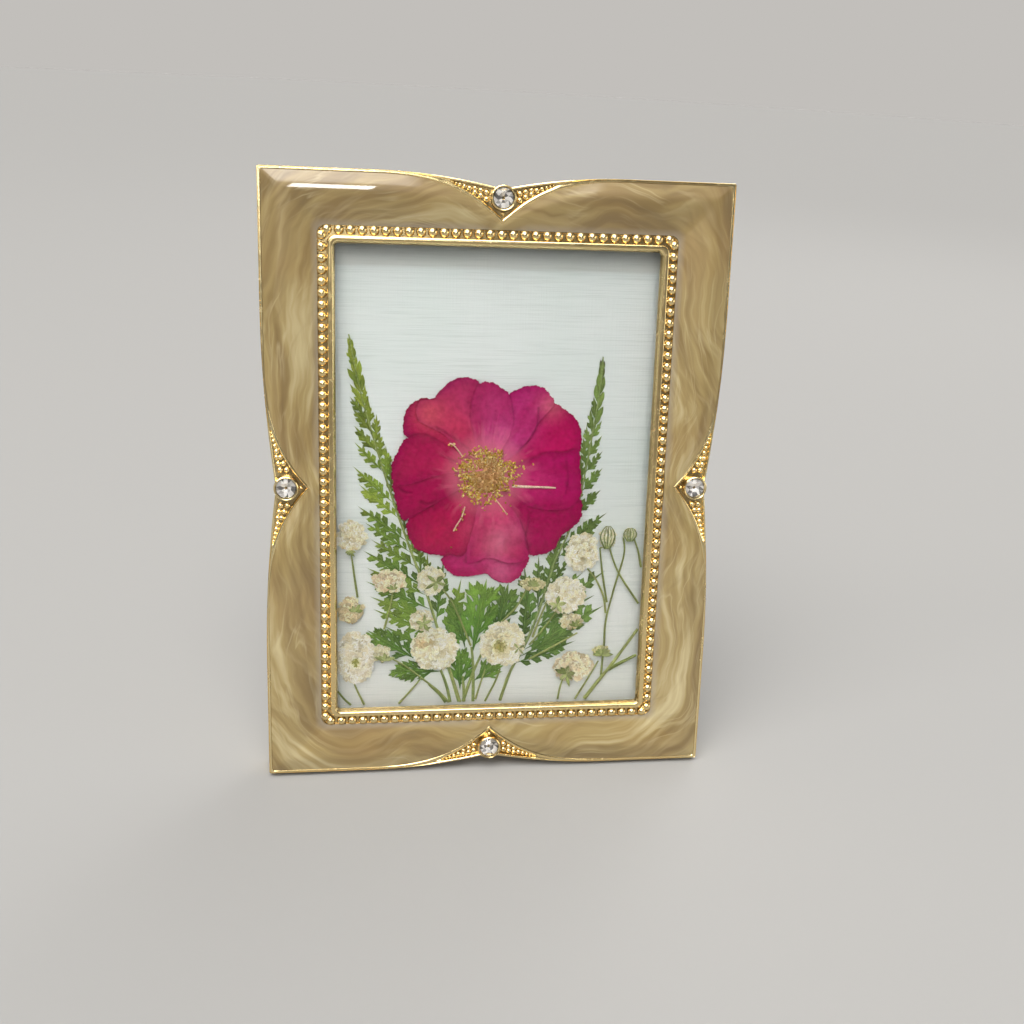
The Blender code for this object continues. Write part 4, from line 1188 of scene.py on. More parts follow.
    def build(self, velvet: Material) -> None:
        """Make and dress the hinge and the leg."""
        steel = ZincSteel().material()
        swung = {"body": Body.EASEL, "to_world": self.hinge_matrix()}
        add_piece(self.bracket(), "hinge_plate", steel, Slot.STEEL, ["hinge_bracket"])
        add_piece(self.pin(), "hinge_axle", steel, Slot.STEEL, ["hinge_pin"])
        for side, x in (("left", -self.rivet_side), ("right", self.rivet_side)):
            node = "bracket_rivet_" + side
            rivet = self.rivet(x, self.pin_up + 7.0, 8.42, 1.3, 0.4)
            add_piece(rivet, "riveted_plate_" + side, steel, Slot.STEEL, [node])
            node = "leg_rivet_" + side
            rivet = self.rivet(x, -10.5, 2.12, 1.7, 0.65)
            add_piece(rivet, "riveted_leg_" + side, steel, Slot.STEEL, [node], **swung)
        add_piece(self.knuckle(), "hinge_strap", steel, Slot.STEEL, ["leg_knuckle"], **swung)
        add_piece(self.leg(), "velvet_leg", velvet, Slot.VELVET, ["easel_leg"], **swung)


# What is pressed behind the glass


def smooth_path(points: Sequence[Spot], steps: int, closed: bool = False) -> Loop:
    """A Catmull-Rom curve through points in plan.

    Args:
        points: The points.
        steps: Steps from one point to the next.
        closed: Join the last point to the first.
    Returns:
        The curve's points.
    """
    count = len(points)
    made: Loop = []
    for n in range(count if closed else count - 1):
        near = [(n + k) % count if closed else min(max(n + k, 0), count - 1) for k in (-1, 0, 1, 2)]
        p0, p1, p2, p3 = (Vector(points[k]) for k in near)
        for step in range(steps):
            t = step / steps
            pull = (p2 - p0) * t + (2 * p0 - 5 * p1 + 4 * p2 - p3) * t**2
            made.append(p1 + 0.5 * (pull + (3 * p1 - p0 - 3 * p2 + p3) * t**3))
    return made if closed else made + [Vector(points[-1])]


def tinted(bm: Mesh, colour: Vector | Callable[[Vector], Vector]) -> Mesh:
    """Paint a mesh's "Tint" attribute with one linear colour, or by a rule of the plan position."""
    layer = bm.verts.layers.float_color.new("Tint")
    for vert in bm.verts:
        vert[layer] = colour(vert.co) if callable(colour) else colour
    return bm


@dataclass(frozen=True)
class Press:
    """Heights in the pressed gap, in millimetres in front of the silk."""

    silk: float = 4.9
    fern: float = 0.08
    leaf: float = 0.3
    stem: float = 0.5
    petal: float = 0.5
    petal_pitch: float = 0.2
    stamen: float = 1.2

    def at(self, x: float, z: float, height: float) -> Vector:
        """A plan position a height in front of the silk."""
        return Vector((x, self.silk - height, z))


PRESS = Press()


# A leaf's core as a share of its width, by its number of pairs of fingers
CORES = (1.0, 0.85, 0.56, 0.42, 0.34, 0.28)


@dataclass
class Blade:
    """A pressed leaf, as thin closed shells: a core along the rib and blunt fingers that lean forward."""

    base: Spot
    tip: Spot
    width: float
    pairs: int
    height: float
    base_tone: Vector
    tip_tone: Vector
    thick: float = 0.03
    finger_peak: float = 1.3
    toothed_from: float = 2.6

    def lance(
        self, foot: Vector, end: Vector, width: float, height: float, peak: float, light: float
    ) -> Mesh:
        """One plain shell, with a Flow map in millimetres along and from -1 to 1 across.

        Args:
            foot: Its start in plan.
            end: Its far end.
            width: Its full width.
            height: Its height in front of the silk.
            peak: Over 1, it is widest past its middle; under 1, before.
            light: How light its tint is.
        Returns:
            The mesh.
        """
        steps, axis = 6, end - foot
        across = Vector((-axis.y, axis.x)).normalized()
        start, whole = Vector(self.base), Vector(self.tip) - Vector(self.base)

        def place(i: int, j: int) -> Vector:
            side, u = (2 - abs(i % 8 - 4)) / 2, j / steps
            reach = width / 2 * max(0.0, sin(pi * u**peak)) ** 1.1
            spot = foot + axis * u + across * side * reach
            lift = 0.05 * (1 - abs(side)) - (self.thick if 0 < i < 4 else 0.0)
            return PRESS.at(spot.x, spot.y, height + 0.03 + lift)

        def paint(co: Vector) -> Vector:
            share = (Vector((co.x, co.z)) - start).dot(whole) / whole.length_squared
            return self.base_tone.lerp(self.tip_tone, min(1.0, max(0.0, share)) ** 2) * light

        def flow(i: int, j: int) -> Spot:
            return j / steps * axis.length, (2 - abs(i % 8 - 4)) / 2

        return tinted(mapped_grid(8, steps, place, flow), paint)

    def mesh(self, rng: random.Random) -> Mesh:
        """The whole leaf."""
        foot, axis = Vector(self.base), Vector(self.tip) - Vector(self.base)
        light, angle = rng.uniform(0.7, 1.3), 0.42 if self.pairs < 4 else 0.56
        core = self.width * CORES[self.pairs]
        parts = [self.lance(foot, foot + axis, core, self.height + 0.05, 1.1 if self.pairs else 1.2, light)]
        for k in range(self.pairs):
            u = 0.14 + 0.7 * k / self.pairs
            swell = 0.7 + 0.3 * sin(pi * min(1.0, (k + 1) / self.pairs))
            for side in (-1, 1):
                begin = foot + axis * (u + side * 0.03 + rng.uniform(-0.02, 0.02))
                way = axis.normalized()
                turn = side * angle * rng.uniform(0.85, 1.15) * (1 - 0.25 * k / self.pairs)
                way.rotate(Matrix.Rotation(turn, 2))
                long = 1.2 * self.width / 2 / sin(angle) * swell * rng.uniform(0.85, 1.15)
                long = min(long, (1.04 - u) * axis.length)
                wide = min(0.48 * axis.length / (self.pairs + 1), 0.4 * long) * rng.uniform(0.85, 1.1)
                high = self.height + 0.008 * k + (0.004 if side > 0 else 0.0)
                tone = light * rng.uniform(0.66, 1.4)
                parts.append(self.lance(begin, begin + way * long, wide, high, self.finger_peak, tone))
                # Long fingers carry a tooth on each side
                for turn, reach in ((-0.5, 0.5), (0.5, 0.56)) if long >= self.toothed_from else ():
                    out = way.copy()
                    out.rotate(Matrix.Rotation(turn, 2))
                    start = begin + way * long * reach * 0.8
                    end = start + out * long * 0.42
                    parts.append(self.lance(start, end, 0.62 * wide, high + 0.01, self.finger_peak, tone))
        return merged(parts)


def stalk(points: Sequence[Spot], start: float, end: float, height: float, steps: int = 6) -> Mesh:
    """A pressed stem: a flattened tube along a smooth path.

    Args:
        points: The path in plan.
        start: Its width at the first point.
        end: Its width at the last.
        height: Its middle's height in front of the silk.
        steps: Steps from point to point.
    Returns:
        The mesh, with a Flow map in millimetres along and from -1 to 1 across.
    """
    path = smooth_path(points, steps)
    count, sides = len(path) - 1, 8

    def place(i: int, j: int) -> Vector:
        ahead = path[min(j + 1, count)] - path[max(j - 1, 0)]
        across = Vector((-ahead.y, ahead.x)).normalized()
        wide = (start + (end - start) * j / count) * (1.0 + 0.12 * noise.noise(path[j].to_3d() * 0.4))
        angle = 2 * pi * (i % sides) / sides
        spot = path[j] + across * cos(angle) * wide / 2
        return PRESS.at(spot.x, spot.y, height + sin(angle) * min(0.13, wide * 0.3))

    return closed(mapped_grid(sides, count, place, lambda i, j: (j * 0.5, cos(pi * 2 * i / sides))))


@dataclass(frozen=True)
class PressedPlant:
    """Pressed and dried plant tissue: matt, papery, its veins and blotches still showing."""

    name: str
    vein: str
    blotch: str
    vein_share: float = 0.5
    vein_pitch_mm: float = 1.1
    grain: str = "#C8C8C8"
    depth_mm: float = 0.05

    def material(self) -> Material:
        """Build the finish over the piece's own tint."""
        made, add, shader = new_material(self.name)
        plan = plan_coordinates(add)
        tint = add("Attribute", {"attribute_name": "Tint"})
        flow = add("SeparateXYZ", Vector=add("UVMap", {"uv_map": "Flow"}))
        side = add("Math", "ABSOLUTE", i0=flow.outputs["Y"])
        rib = add("MapRange", {1: 0.03, 2: 0.13, 3: 1.0, 4: 0.0}, Value=side)
        lean = add("Math", "MULTIPLY_ADD", i0=side, i1=-1.6, i2=flow.outputs["X"])
        wave = add("Math", "PINGPONG", i0=lean, i1=self.vein_pitch_mm / 2)
        side_vein = add("MapRange", {2: 0.13, 3: 0.6, 4: 0.0}, Value=wave)
        veins = add("Math", "MAXIMUM", i0=rib, i1=side_vein)
        share = add("Math", "MULTIPLY", i0=veins, i1=self.vein_share)
        spots = add("TexNoise", {"Scale": 0.55, "Detail": 3.0}, Vector=plan)
        speckle = add("TexNoise", {"Scale": 3.2, "Detail": 3.0}, Vector=plan)
        cells = add("ValToRGB", [(0.3, self.grain), (0.7, "#FFFFFF")], Fac=speckle)
        tone = laid_over(add, tint, self.blotch, [(0.48, "#000000"), (0.72, "#A8A8A8")], spots)
        tone = add("Mix", BLEND, i0=share, i6=tone, i7=self.vein)
        tone = add("Mix", STAIN, i0=1.0, i6=tone, i7=cells)
        feed(shader, Base_Color=tone, Roughness=0.7, Specular_IOR_Level=0.08)
        relief = add("Math", "ADD", i0=veins, i1=cells)
        feed(shader, Normal=add("Bump", {"Distance": self.depth_mm / 1000}, Height=relief))
        return made


# Leaflets up to a length in millimetres, and how many pairs of fingers they have
FINGERS = ((5.2, 0), (7.2, 2), (9.5, 3), (13.0, 4), (inf, 5))


@dataclass
class Fern:
    """A pressed frond: its midrib, and leaflets as (distance of the foot down it, tip x, tip z)."""

    name: str
    midrib: Sequence[Spot]
    leaflets: Sequence[Spot3]
    young: str
    old: str
    lead: str
    seed: int
    stalk_tone: str = "#A8B47C"
    head_leaflets: int = 16

    def mesh(self) -> Mesh:
        """The frond: small plain leaflets at the head, large fingered ones at the foot."""
        rng = random.Random(self.seed)
        path = smooth_path(self.midrib, 8)
        run = [0.0]
        for here, there in zip(path, path[1:]):
            run.append(run[-1] + (there - here).length)
        midrib = stalk(self.midrib, 0.3, 0.85, PRESS.fern + 0.24)
        parts = [tinted(midrib, blended(self.young, self.stalk_tone, 0.55))]
        tones = Vector(linear(self.young)), Vector(linear(self.lead))
        parts.append(Blade(tuple(path[6]), tuple(path[0]), 0.75, 0, PRESS.fern + 0.1, *tones).mesh(rng))
        for n in range(self.head_leaflets):
            start, end = path[n // 2 * 2 + 5], path[n // 2 * 2 + 2]
            out = Vector(((-1) ** n * (0.5 + 0.07 * n), 0.2 + 0.3 * (n % 2)))
            tones = Vector(linear(self.young)), blended(self.lead, self.young, n / 12 if n < 12 else 1)
            own = PRESS.fern + 0.01 * (n % 4)
            parts.append(Blade(tuple(start), tuple(end + out), 0.85, 0, own, *tones).mesh(rng))
        for order, (distance, x, z) in enumerate(self.leaflets):
            foot = path[max(k for k in range(len(run) - 1) if run[k] <= distance + 2.4)]
            length = dist(foot, (x, z))
            pairs = next(count for limit, count in FINGERS if length < limit)
            wide = 0.24 * length if pairs == 3 else 0.2 * length + (0.5 if pairs < 3 else 0.0)
            mid, own = distance / run[-1] + rng.uniform(-0.2, 0.2), PRESS.fern + 0.025 * (order % 4)
            tones = blended(self.young, self.old, mid + 0.2), blended(self.young, self.old, mid - 0.25)
            parts.append(Blade(tuple(foot), (x, z), wide, pairs, own, *tones).mesh(rng))
        return merged(parts)

    def build(self, finish: Material) -> None:
        """Make and dress the frond."""
        add_piece(self.mesh(), "pressed_" + self.name, finish, Slot.FERN, [self.name], smooth=60)


LEFT_FERN = Fern(
    "fern_left",
    [(-36.6, 37.5), (-35.2, 30), (-33.4, 22), (-31.2, 14), (-28.8, 6), (-26.3, -2), (-23.6, -10),
     (-20.8, -18), (-17.8, -26), (-14.6, -36), (-11.8, -46), (-9.4, -54), (-7.9, -59.2)],
    [(6.5, -36.9, 34.0), (11, -37.0, 29.2), (16, -36.4, 25.4), (20, -36.4, 22.2), (23.5, -35.8, 19.4),
     (29, -35.4, 15.0), (34, -35.4, 10.9), (42, -35.8, 4.8), (46.5, -34.4, 0.2), (53, -34.6, -5.5),
     (55.5, -32.8, -9.8), (60.5, -31.2, -14.3), (65.5, -33.2, -17.2), (69, -32.3, -21.8), (73, -32.5, -25.4),
     (77, -31.5, -29.5), (81, -30.6, -33.0), (86, -28.0, -37.5), (90, -21.5, -43.5), (5, -35.4, 34.4),
     (9.5, -34.0, 31.2), (13, -33.2, 27.8), (16.5, -32.7, 25.2), (21, -31.9, 21.5), (26.5, -29.8, 18.0),
     (31, -29.2, 13.6), (36, -27.5, 10.1), (40, -26.5, 7.0), (45, -25.2, 2.5), (51, -23.2, -3.0),
     (57, -21.3, -8.0), (63, -19.3, -13.0), (70, -16.8, -17.6), (77, -12.4, -19.4), (85, -7.8, -24.8),
     (89, -8.9, -30.2)],
    "#A0AE44", "#628A32", "#98A446", 11,
)
RIGHT_FERN = Fern(
    "fern_right",
    [(27.1, 33), (26.8, 26), (25.9, 18), (24.8, 10), (23.6, 2), (22.2, -6), (20, -13), (17, -20),
     (14.9, -27), (13, -34), (10.6, -41), (8.4, -46), (5.8, -51), (3.2, -59.2)],
    [(8, 27.8, 27.8), (11.5, 27.9, 24.0), (15.5, 27.8, 20.4), (19.5, 27.6, 16.7), (24, 27.8, 12.8),
     (28, 28.2, 8.8), (33, 28.4, 4.4), (39, 28.2, -1.4), (49, 30.2, -7.5), (52, 28.4, -10.3),
     (62, 21.0, -19.6), (66, 24.4, -23.8), (71, 30.5, -23.3), (72.5, 28.0, -30.0), (79, 30.6, -33.0),
     (81, 26.0, -37.6), (83, 23.3, -42.8), (7, 26.1, 28.6), (10, 25.5, 25.9), (14, 25.2, 22.8),
     (18.5, 24.4, 19.6), (23.5, 23.6, 15.5), (27.5, 22.9, 12.3), (32.5, 22.4, 7.5), (39, 22.3, 1.5),
     (46, 20.6, -4.5), (53, 18.6, -9.5), (62, 17.6, -14.4), (68, 12.4, -18.8), (73, 8.6, -21.4),
     (79, 9.7, -29.4)],
    "#849A50", "#567A34", "#43283A", 23,
)


@dataclass(frozen=True)
class Leaf:
    """A toothed leaf low in the spray."""

    node: str
    base: Spot
    tip: Spot
    width: float
    lobes: int
    tone: str
    height: float = PRESS.leaf


LOW_LEAVES = (
    Leaf("leaf_centre_tall", (-4.6, -46), (-1.2, -25.0), 8.4, 5, "#5C8A2E", 0.38),
    Leaf("leaf_centre_narrow", (-6.4, -44.5), (-9.6, -29.8), 4.6, 4, "#588032"),
    Leaf("leaf_centre_dark", (1.6, -42), (4.6, -26.2), 6.2, 4, "#42692C"),
    Leaf("leaf_low_middle", (-7.6, -56), (-8.2, -43.4), 5.6, 4, "#5C9030"),
    Leaf("leaf_low_right", (-4, -53.5), (2.8, -47.4), 4.6, 3, "#5F8436"),
    Leaf("leaf_left_long", (-19.4, -47), (-32.2, -38.6), 5.4, 5, "#5F8C34"),
    Leaf("leaf_left_low", (-12.6, -50.5), (-26.6, -49.8), 4.8, 5, "#628E38"),
)


@dataclass
class RosePetal:
    """One petal: its layer from the back, its colours and its outline in plan."""

    name: str
    layer: int
    body: str
    edge: str
    outline: Sequence[Spot]


ROSE_PETALS = (
    RosePetal(
        "back_left", 0, "#B10C4F", "#9A054B",
        [(-6, 7), (-15, 9), (-22.3, 12.2), (-23.2, 16), (-22.2, 19.5), (-20, 21.4), (-17, 21.9), (-12, 17)],
    ),
    RosePetal(
        "back_right", 0, "#BF0B5B", "#A70650",
        [(3.5, 4.2), (13, 5.5), (21.3, 8), (22.3, 13), (20.8, 17), (17.6, 19.6), (14.5, 21), (10.5, 17)],
    ),
    RosePetal(
        "back_bottom", 0, "#C3266D", "#AE0D58",
        [(-3.5, -9), (-9, -15), (-13, -19.5), (-11.6, -22.6), (-9, -24.2), (-5, -24.2), (-1.5, -23.7),
         (0.8, -25.4), (4, -26.3), (7, -25), (8.8, -22), (9.6, -19.5), (6, -14)],
    ),
    RosePetal(
        "top_left", 1, "#B93060", "#A6215C",
        [(-5.4, 7), (-13, 12.8), (-19.4, 16.5), (-19.5, 21), (-15.7, 22.1), (-14.8, 23.3), (-11.5, 26.4),
         (-7.8, 27.4), (-4.2, 25.6), (-3.2, 17)],
    ),
    RosePetal(
        "top_right", 1, "#C12E77", "#B21D69",
        [(0, 7.2), (1.8, 12), (1.2, 20), (3.1, 23.2), (7.6, 25.4), (11.6, 25.2), (13.6, 23.4), (14.9, 20.8),
         (11.4, 16.5), (6.5, 9)],
    ),
    RosePetal(
        "low_right", 1, "#AA0052", "#960044",
        [(2.4, -2.2), (11, -3), (21.5, -2.5), (23.3, -7.2), (22.2, -10.2), (18, -13.8), (16.2, -17.2),
         (11.5, -18.8), (8, -17.4), (5.6, -10)],
    ),
    RosePetal(
        "low_left", 1, "#B80C4E", "#9C0044",
        [(-5.6, -1.5), (-14, -4), (-21.3, -8.4), (-22, -12.2), (-19.4, -16.9), (-13.4, -18.6), (-10.8, -18.3),
         (-8, -18.7), (-5.4, -15.5), (-4, -8)],
    ),
    RosePetal(
        "top", 2, "#BD3373", "#B22A69",
        [(-4, 7.6), (-6.4, 17), (-4.9, 25.2), (-1.4, 26.3), (1.2, 24.9), (3.4, 22.8), (4.4, 15), (0.6, 7.6)],
    ),
    RosePetal(
        "right", 2, "#B90763", "#A30252",
        [(3.2, 3), (7.2, 5.8), (12.4, 8.3), (17.5, 8.6), (21.5, 9.2), (22.3, 4), (22.7, -2.5), (20, -6),
         (14.5, -6.7), (8, -5), (3.3, -1.6)],
    ),
    RosePetal(
        "bottom", 2, "#C71F61", "#BB1965",
        [(-2.8, -2.4), (-5, -10), (-6.8, -19.8), (-4, -20.4), (-1.5, -19.4), (1, -19.7), (3.2, -20.6),
         (6.4, -20.8), (9.4, -19.2), (8.4, -13), (5.6, -7), (1.3, -2.4)],
    ),
    RosePetal(
        "left", 2, "#AB084F", "#970447",
        [(-6.9, 0.2), (-13, -3.6), (-21.4, -8.6), (-23.6, -8.5), (-25, -4), (-25.5, 1), (-20.5, 3.8),
         (-13, 4.6), (-6.2, 5)],
    ),
    RosePetal(
        "high_left", 3, "#B21951", "#9F084B",
        [(-6.7, 5), (-13.5, 2.8), (-21.4, 0.2), (-25.4, 0.4), (-26.1, 5), (-24.6, 8.6), (-22.4, 12),
         (-16.5, 12.6), (-6, 7.2)],
    ),
)

ROSE_HEART: Spot = (-2.0, 2.6)


@dataclass(frozen=True)
class RoseTissue:
    """Dried rose petal: thin, papery and matt, with fine veins that run out from the heart."""

    pale: str = "#F092A2"
    deep: str = "#960044"
    vein: str = "#C2246A"

    def material(self) -> Material:
        """Build the finish over each petal's own tint."""
        made, add, shader = new_material("rose_petal_pressed")
        plan = plan_coordinates(add)
        tint = add("Attribute", {"attribute_name": "Tint"})
        off = add("VectorMath", "SUBTRACT", i0=plan, i1=(ROSE_HEART[0], 0.0, ROSE_HEART[1]))
        split = add("SeparateXYZ", Vector=off)
        angle = add("Math", "ARCTAN2", i0=split.outputs["Z"], i1=split.outputs["X"])
        away = add("VectorMath", "LENGTH", i0=off)
        polar = add("CombineXYZ", X=angle, Y=away)
        # Veins 0.8 mm apart half way out, bending a little
        bend = add("TexNoise", {"Scale": 0.12, "Detail": 1.0}, Vector=plan).outputs["Color"]
        warp = add("VectorMath", "MULTIPLY_ADD", i0=bend, i1=(0.3, 1.0, 0.0), i2=polar)
        narrow = add("Mapping", {"Scale": (15.0, 0.09, 1.0)}, Vector=warp)
        veins = add("TexNoise", {"Scale": 1.0, "Detail": 3.0, "Roughness": 0.6}, Vector=narrow)
        wider = add("Mapping", {"Scale": (4.0, 0.07, 1.0)}, Vector=warp)
        broad = add("TexNoise", {"Scale": 1.0}, Vector=wider)
        cells = add("TexNoise", {"Scale": 0.9, "Detail": 5.0}, Vector=plan)
        tone = laid_over(add, tint, self.deep, [(0.36, "#A4A4A4"), (0.58, "#000000")], broad)
        tone = laid_over(add, tone, self.vein, [(0.5, "#000000"), (0.72, "#4A4A4A")], veins)
        grain = add("ValToRGB", [(0.3, "#E0E0E0"), (0.65, "#FFFFFF")], Fac=cells)
        tone = add("Mix", STAIN, i0=1.0, i6=tone, i7=grain)
        # The claws of the petals are pale: a soft glow to 12 mm out, and rays that fade at 15 mm
        glow = add("MapRange", {1: 5.0, 2: 12.5, 3: 0.62, 4: 0.0}, Value=away)
        near = add("MapRange", {1: 6.0, 2: 15.0, 3: 0.9, 4: 0.0}, Value=away)
        fanned = add("Mapping", {"Scale": (7.0, 0.12, 1.0)}, Vector=warp)
        streak = add("TexNoise", {"Scale": 1.0}, Vector=fanned)
        rays = add("ValToRGB", [(0.5, "#000000"), (0.66, "#C0C0C0")], Fac=streak)
        claw = add("Math", "MULTIPLY", i0=near, i1=rays)
        both = add("Math", "MAXIMUM", i0=glow, i1=claw)
        feed(shader, Base_Color=add("Mix", BLEND, i0=both, i6=tone, i7=self.pale), Roughness=0.7)
        feed(shader, Specular_IOR_Level=0.06)
        height = add("Mix", {0: 0.45}, i2=veins, i3=cells)
        feed(shader, Normal=add("Bump", {"Distance": 0.00014}, Height=height))
        return made


def anther(x: float, z: float, height: float, size: float, tone: str, rng: random.Random) -> Mesh:
    """One pollen case.

    Args:
        x: Its middle in plan.
        z: Its middle's height.
        height: Its height in front of the silk.
        size: Half its length.
        tone: Its colour.
        rng: Turns and shades it.
    Returns:
        The mesh.
    """
    bm = bmesh.new()
    bmesh.ops.create_icosphere(bm, subdivisions=1, radius=1.0)
    shape = Matrix.Diagonal((size, min(0.16, size * 0.5), size * rng.uniform(0.5, 0.8), 1.0))
    turn = Matrix.Rotation(rng.uniform(0, pi), 4, "Y")
    bm.transform(Matrix.Translation(PRESS.at(x, z, height)) @ turn @ shape)
    return tinted(bm, Vector(linear(tone)) * rng.uniform(0.8, 1.1))


@dataclass
class Rose:
    """The pressed rose: twelve overlapping petals and a heart of stamens."""

    thick: float = 0.05
    # Petals are drawn in to this share of their reach near the heart
    claw: float = 0.45
    claw_reach: float = 9.8
    # Drying darkens the petals' colours
    dried: float = 0.84
    around: int = 140
    rings: int = 27
    floor_radius: float = 4.6
    anther_ring: float = 5.9
    anthers: int = 520
    threads: int = 60
    floor_tone: str = "#C09458"
    golds: tuple[str, ...] = ("#E8BE62", "#D6A84A", "#F0D68C", "#A47C32", "#E0BA6C", "#C49844")
    pistils: tuple[str, ...] = ("#D6A46C", "#C8925C", "#E4B880", "#B48050")
    strays: tuple[Spot, ...] = (
        (-11, 10.2), (-10.4, 10.7), (-11.7, 10.4), (-8, 7.6), (-8, -7), (-7.4, -7.6), (-7.8, -6.3),
        (-9.6, -11.6), (3.5, -7.5), (2.6, -6.8), (6.5, 2.5), (7, 3), (-9.6, 5.6), (-9.9, 2.6),
        (-8.9, -1.6), (-8.6, -5.2), (-8.2, -8.4), (-7.9, -9), (-9.2, -10.6), (4.4, -5.4), (3.1, -4.6),
        (-10.7, -16.3),
    )
    long_threads: tuple[tuple[Spot, ...], ...] = (
        ((4.6, -0.2), (8, -0.4), (12, -0.5), (16, -0.7)),
        ((-7.4, -5.6), (-8.2, -8.4), (-9.4, -10.4), (-10.2, -12)),
        ((-8.2, 7.4), (-10.4, 10.2), (-11.6, 10.8)),
        ((0.4, -3.6), (2, -5.6), (3.6, -7.8)),
    )
    # Faded and flushed places: (x, z, reach, colour, share)
    patches: tuple[tuple[float, float, float, str, float], ...] = (
        (1.2, -14.5, 4.6, "#DA7A92", 0.8),
        (4.5, -12.5, 3.6, "#D2678C", 0.6),
        (14.0, 20.3, 3.4, "#DF6781", 0.75),
        (-16.5, 18.0, 4.4, "#DA5767", 0.75),
        (-9.0, 15.0, 5.0, "#DA4061", 0.7),
        (-4.5, 20.0, 5.0, "#C04277", 0.5),
        (2.0, 12.0, 5.5, "#D24A8E", 0.75),
        (8.0, 14.5, 4.5, "#C93B7F", 0.5),
        (2.5, -23.5, 3.6, "#CD5F88", 0.75),
        (-6.0, -10.5, 4.2, "#D6466F", 0.6),
        (1.0, -8.5, 3.8, "#DA4879", 0.7),
        (-17.0, -3.0, 6.0, "#B3044C", 0.5),
        (15.0, -10.0, 6.0, "#AB0550", 0.6),
        (11.0, 1.0, 5.0, "#D0397B", 0.5),
        (-12.0, 5.5, 4.0, "#D23963", 0.5),
        (-14.5, -12.0, 5.0, "#C71C4E", 0.5),
        (-4.6, 25.4, 2.6, "#B83767", 0.5),
        (19.0, -1.0, 4.5, "#B1075D", 0.6),
    )
    # Creases pressed into the petals: (points, depth, width)
    creases: tuple[tuple[tuple[Spot, ...], float, float], ...] = (
        (((-24, -1), (-22.8, -1.9), (-21.2, -2.1)), 0.16, 0.4),
        (((-18.6, -4.4), (-17, -4.9), (-15.4, -4.7)), 0.14, 0.35),
        (((9.2, -7), (9.4, -10), (8.6, -14), (9.2, -17)), 0.12, 0.6),
        (((18.5, 6), (19.2, 2), (18.8, -2)), 0.1, 0.6),
        (((-15, 14.8), (-11, 12.4), (-7, 9.4)), 0.1, 0.5),
        (((6.4, 9.4), (9.2, 12), (10.8, 16), (10.9, 20)), 0.1, 0.4),
        (((-14, 7.6), (-11, 6.6), (-8, 5.2)), 0.1, 0.4),
        (((-15.8, -5.6), (-15.2, -6.4)), 0.1, 0.5),
    )

    crease_tree: kdtree.KDTree = field(init=False)
    crease_sizes: list[Spot] = field(init=False, default_factory=list)
    edges: dict[str, kdtree.KDTree] = field(init=False, default_factory=dict)

    def __post_init__(self) -> None:
        """Index the creases and the petals' edges by place."""
        spots: Loop = []
        for points, depth, width in self.creases:
            line = smooth_path(points, 24)
            spots += line
            self.crease_sizes += [(depth, width)] * len(line)
        self.crease_tree = self._index(spots)
        for petal in ROSE_PETALS:
            self.edges[petal.name] = self._index(self.outline(petal, 4))

    @staticmethod
    def _index(spots: Sequence[Vector]) -> kdtree.KDTree:
        """A search tree over plan positions."""
        tree = kdtree.KDTree(len(spots))
        for n, spot in enumerate(spots):
            tree.insert(spot.to_3d(), n)
        tree.balance()
        return tree

    def outline(self, petal: RosePetal, finer: int = 1) -> Loop:
        """A petal's edge, with its claw drawn in towards the heart."""
        heart, inner = Vector(ROSE_HEART), []
        for point in petal.outline:
            drawn_in = self.claw if dist(point, heart) < self.claw_reach else 1.0
            inner.append(heart + (Vector(point) - heart) * drawn_in)
        return smooth_path(inner, finer * self.around // len(inner), closed=True)

    def relief_at(self, spot: Vector) -> float:
        """The wrinkles that all the petals share at a place, in millimetres."""
        off = spot - Vector(ROSE_HEART)
        height = 0.05 * noise.noise(Vector((atan2(off.y, off.x) * 6.0, off.length * 0.12, 1.0)))
        height = height * min(1.0, off.length / 8) + 0.05 * noise.noise(Vector((*(spot * 0.22), 5.0)))
        height += 0.02 * noise.noise(Vector((*(spot * 0.8), 9.0)))
        _, index, gap = self.crease_tree.find(spot.to_3d())
        depth, width = self.crease_sizes[index]
        return height - depth * exp(-((gap / width) ** 2))

    def petal(self, petal: RosePetal) -> Mesh:
        """A petal from its middle out to its outline, with its rim lifted a hair."""
        outline = self.outline(petal)
        count = len(outline)
        middle = sum(outline, Vector((0, 0))) / count
        low = PRESS.petal + petal.layer * PRESS.petal_pitch
        body, edge_tone = Vector(linear(petal.body)), Vector(linear(petal.edge))
        above = [self.edges[other.name] for other in ROSE_PETALS if other.layer > petal.layer]

        def place(i: int, j: int) -> Vector:
            share = (min(j, 2 * self.rings - j) / self.rings) ** 0.8
            wave = 1.0 + 0.014 * sin(i * 0.7 + petal.layer) + 0.013 * sin(i * 1.9)
            spot = middle + (outline[i % count] - middle) * share * (wave if j == self.rings else 1.0)
            rim = 0.09 * smoothstep(0.86, 1.0, share) * (1 + 0.5 * sin(i * 0.37))
            under = self.thick if j > self.rings else 0.0
            return PRESS.at(spot.x, spot.y, low + 0.08 + rim + self.relief_at(spot) - under)

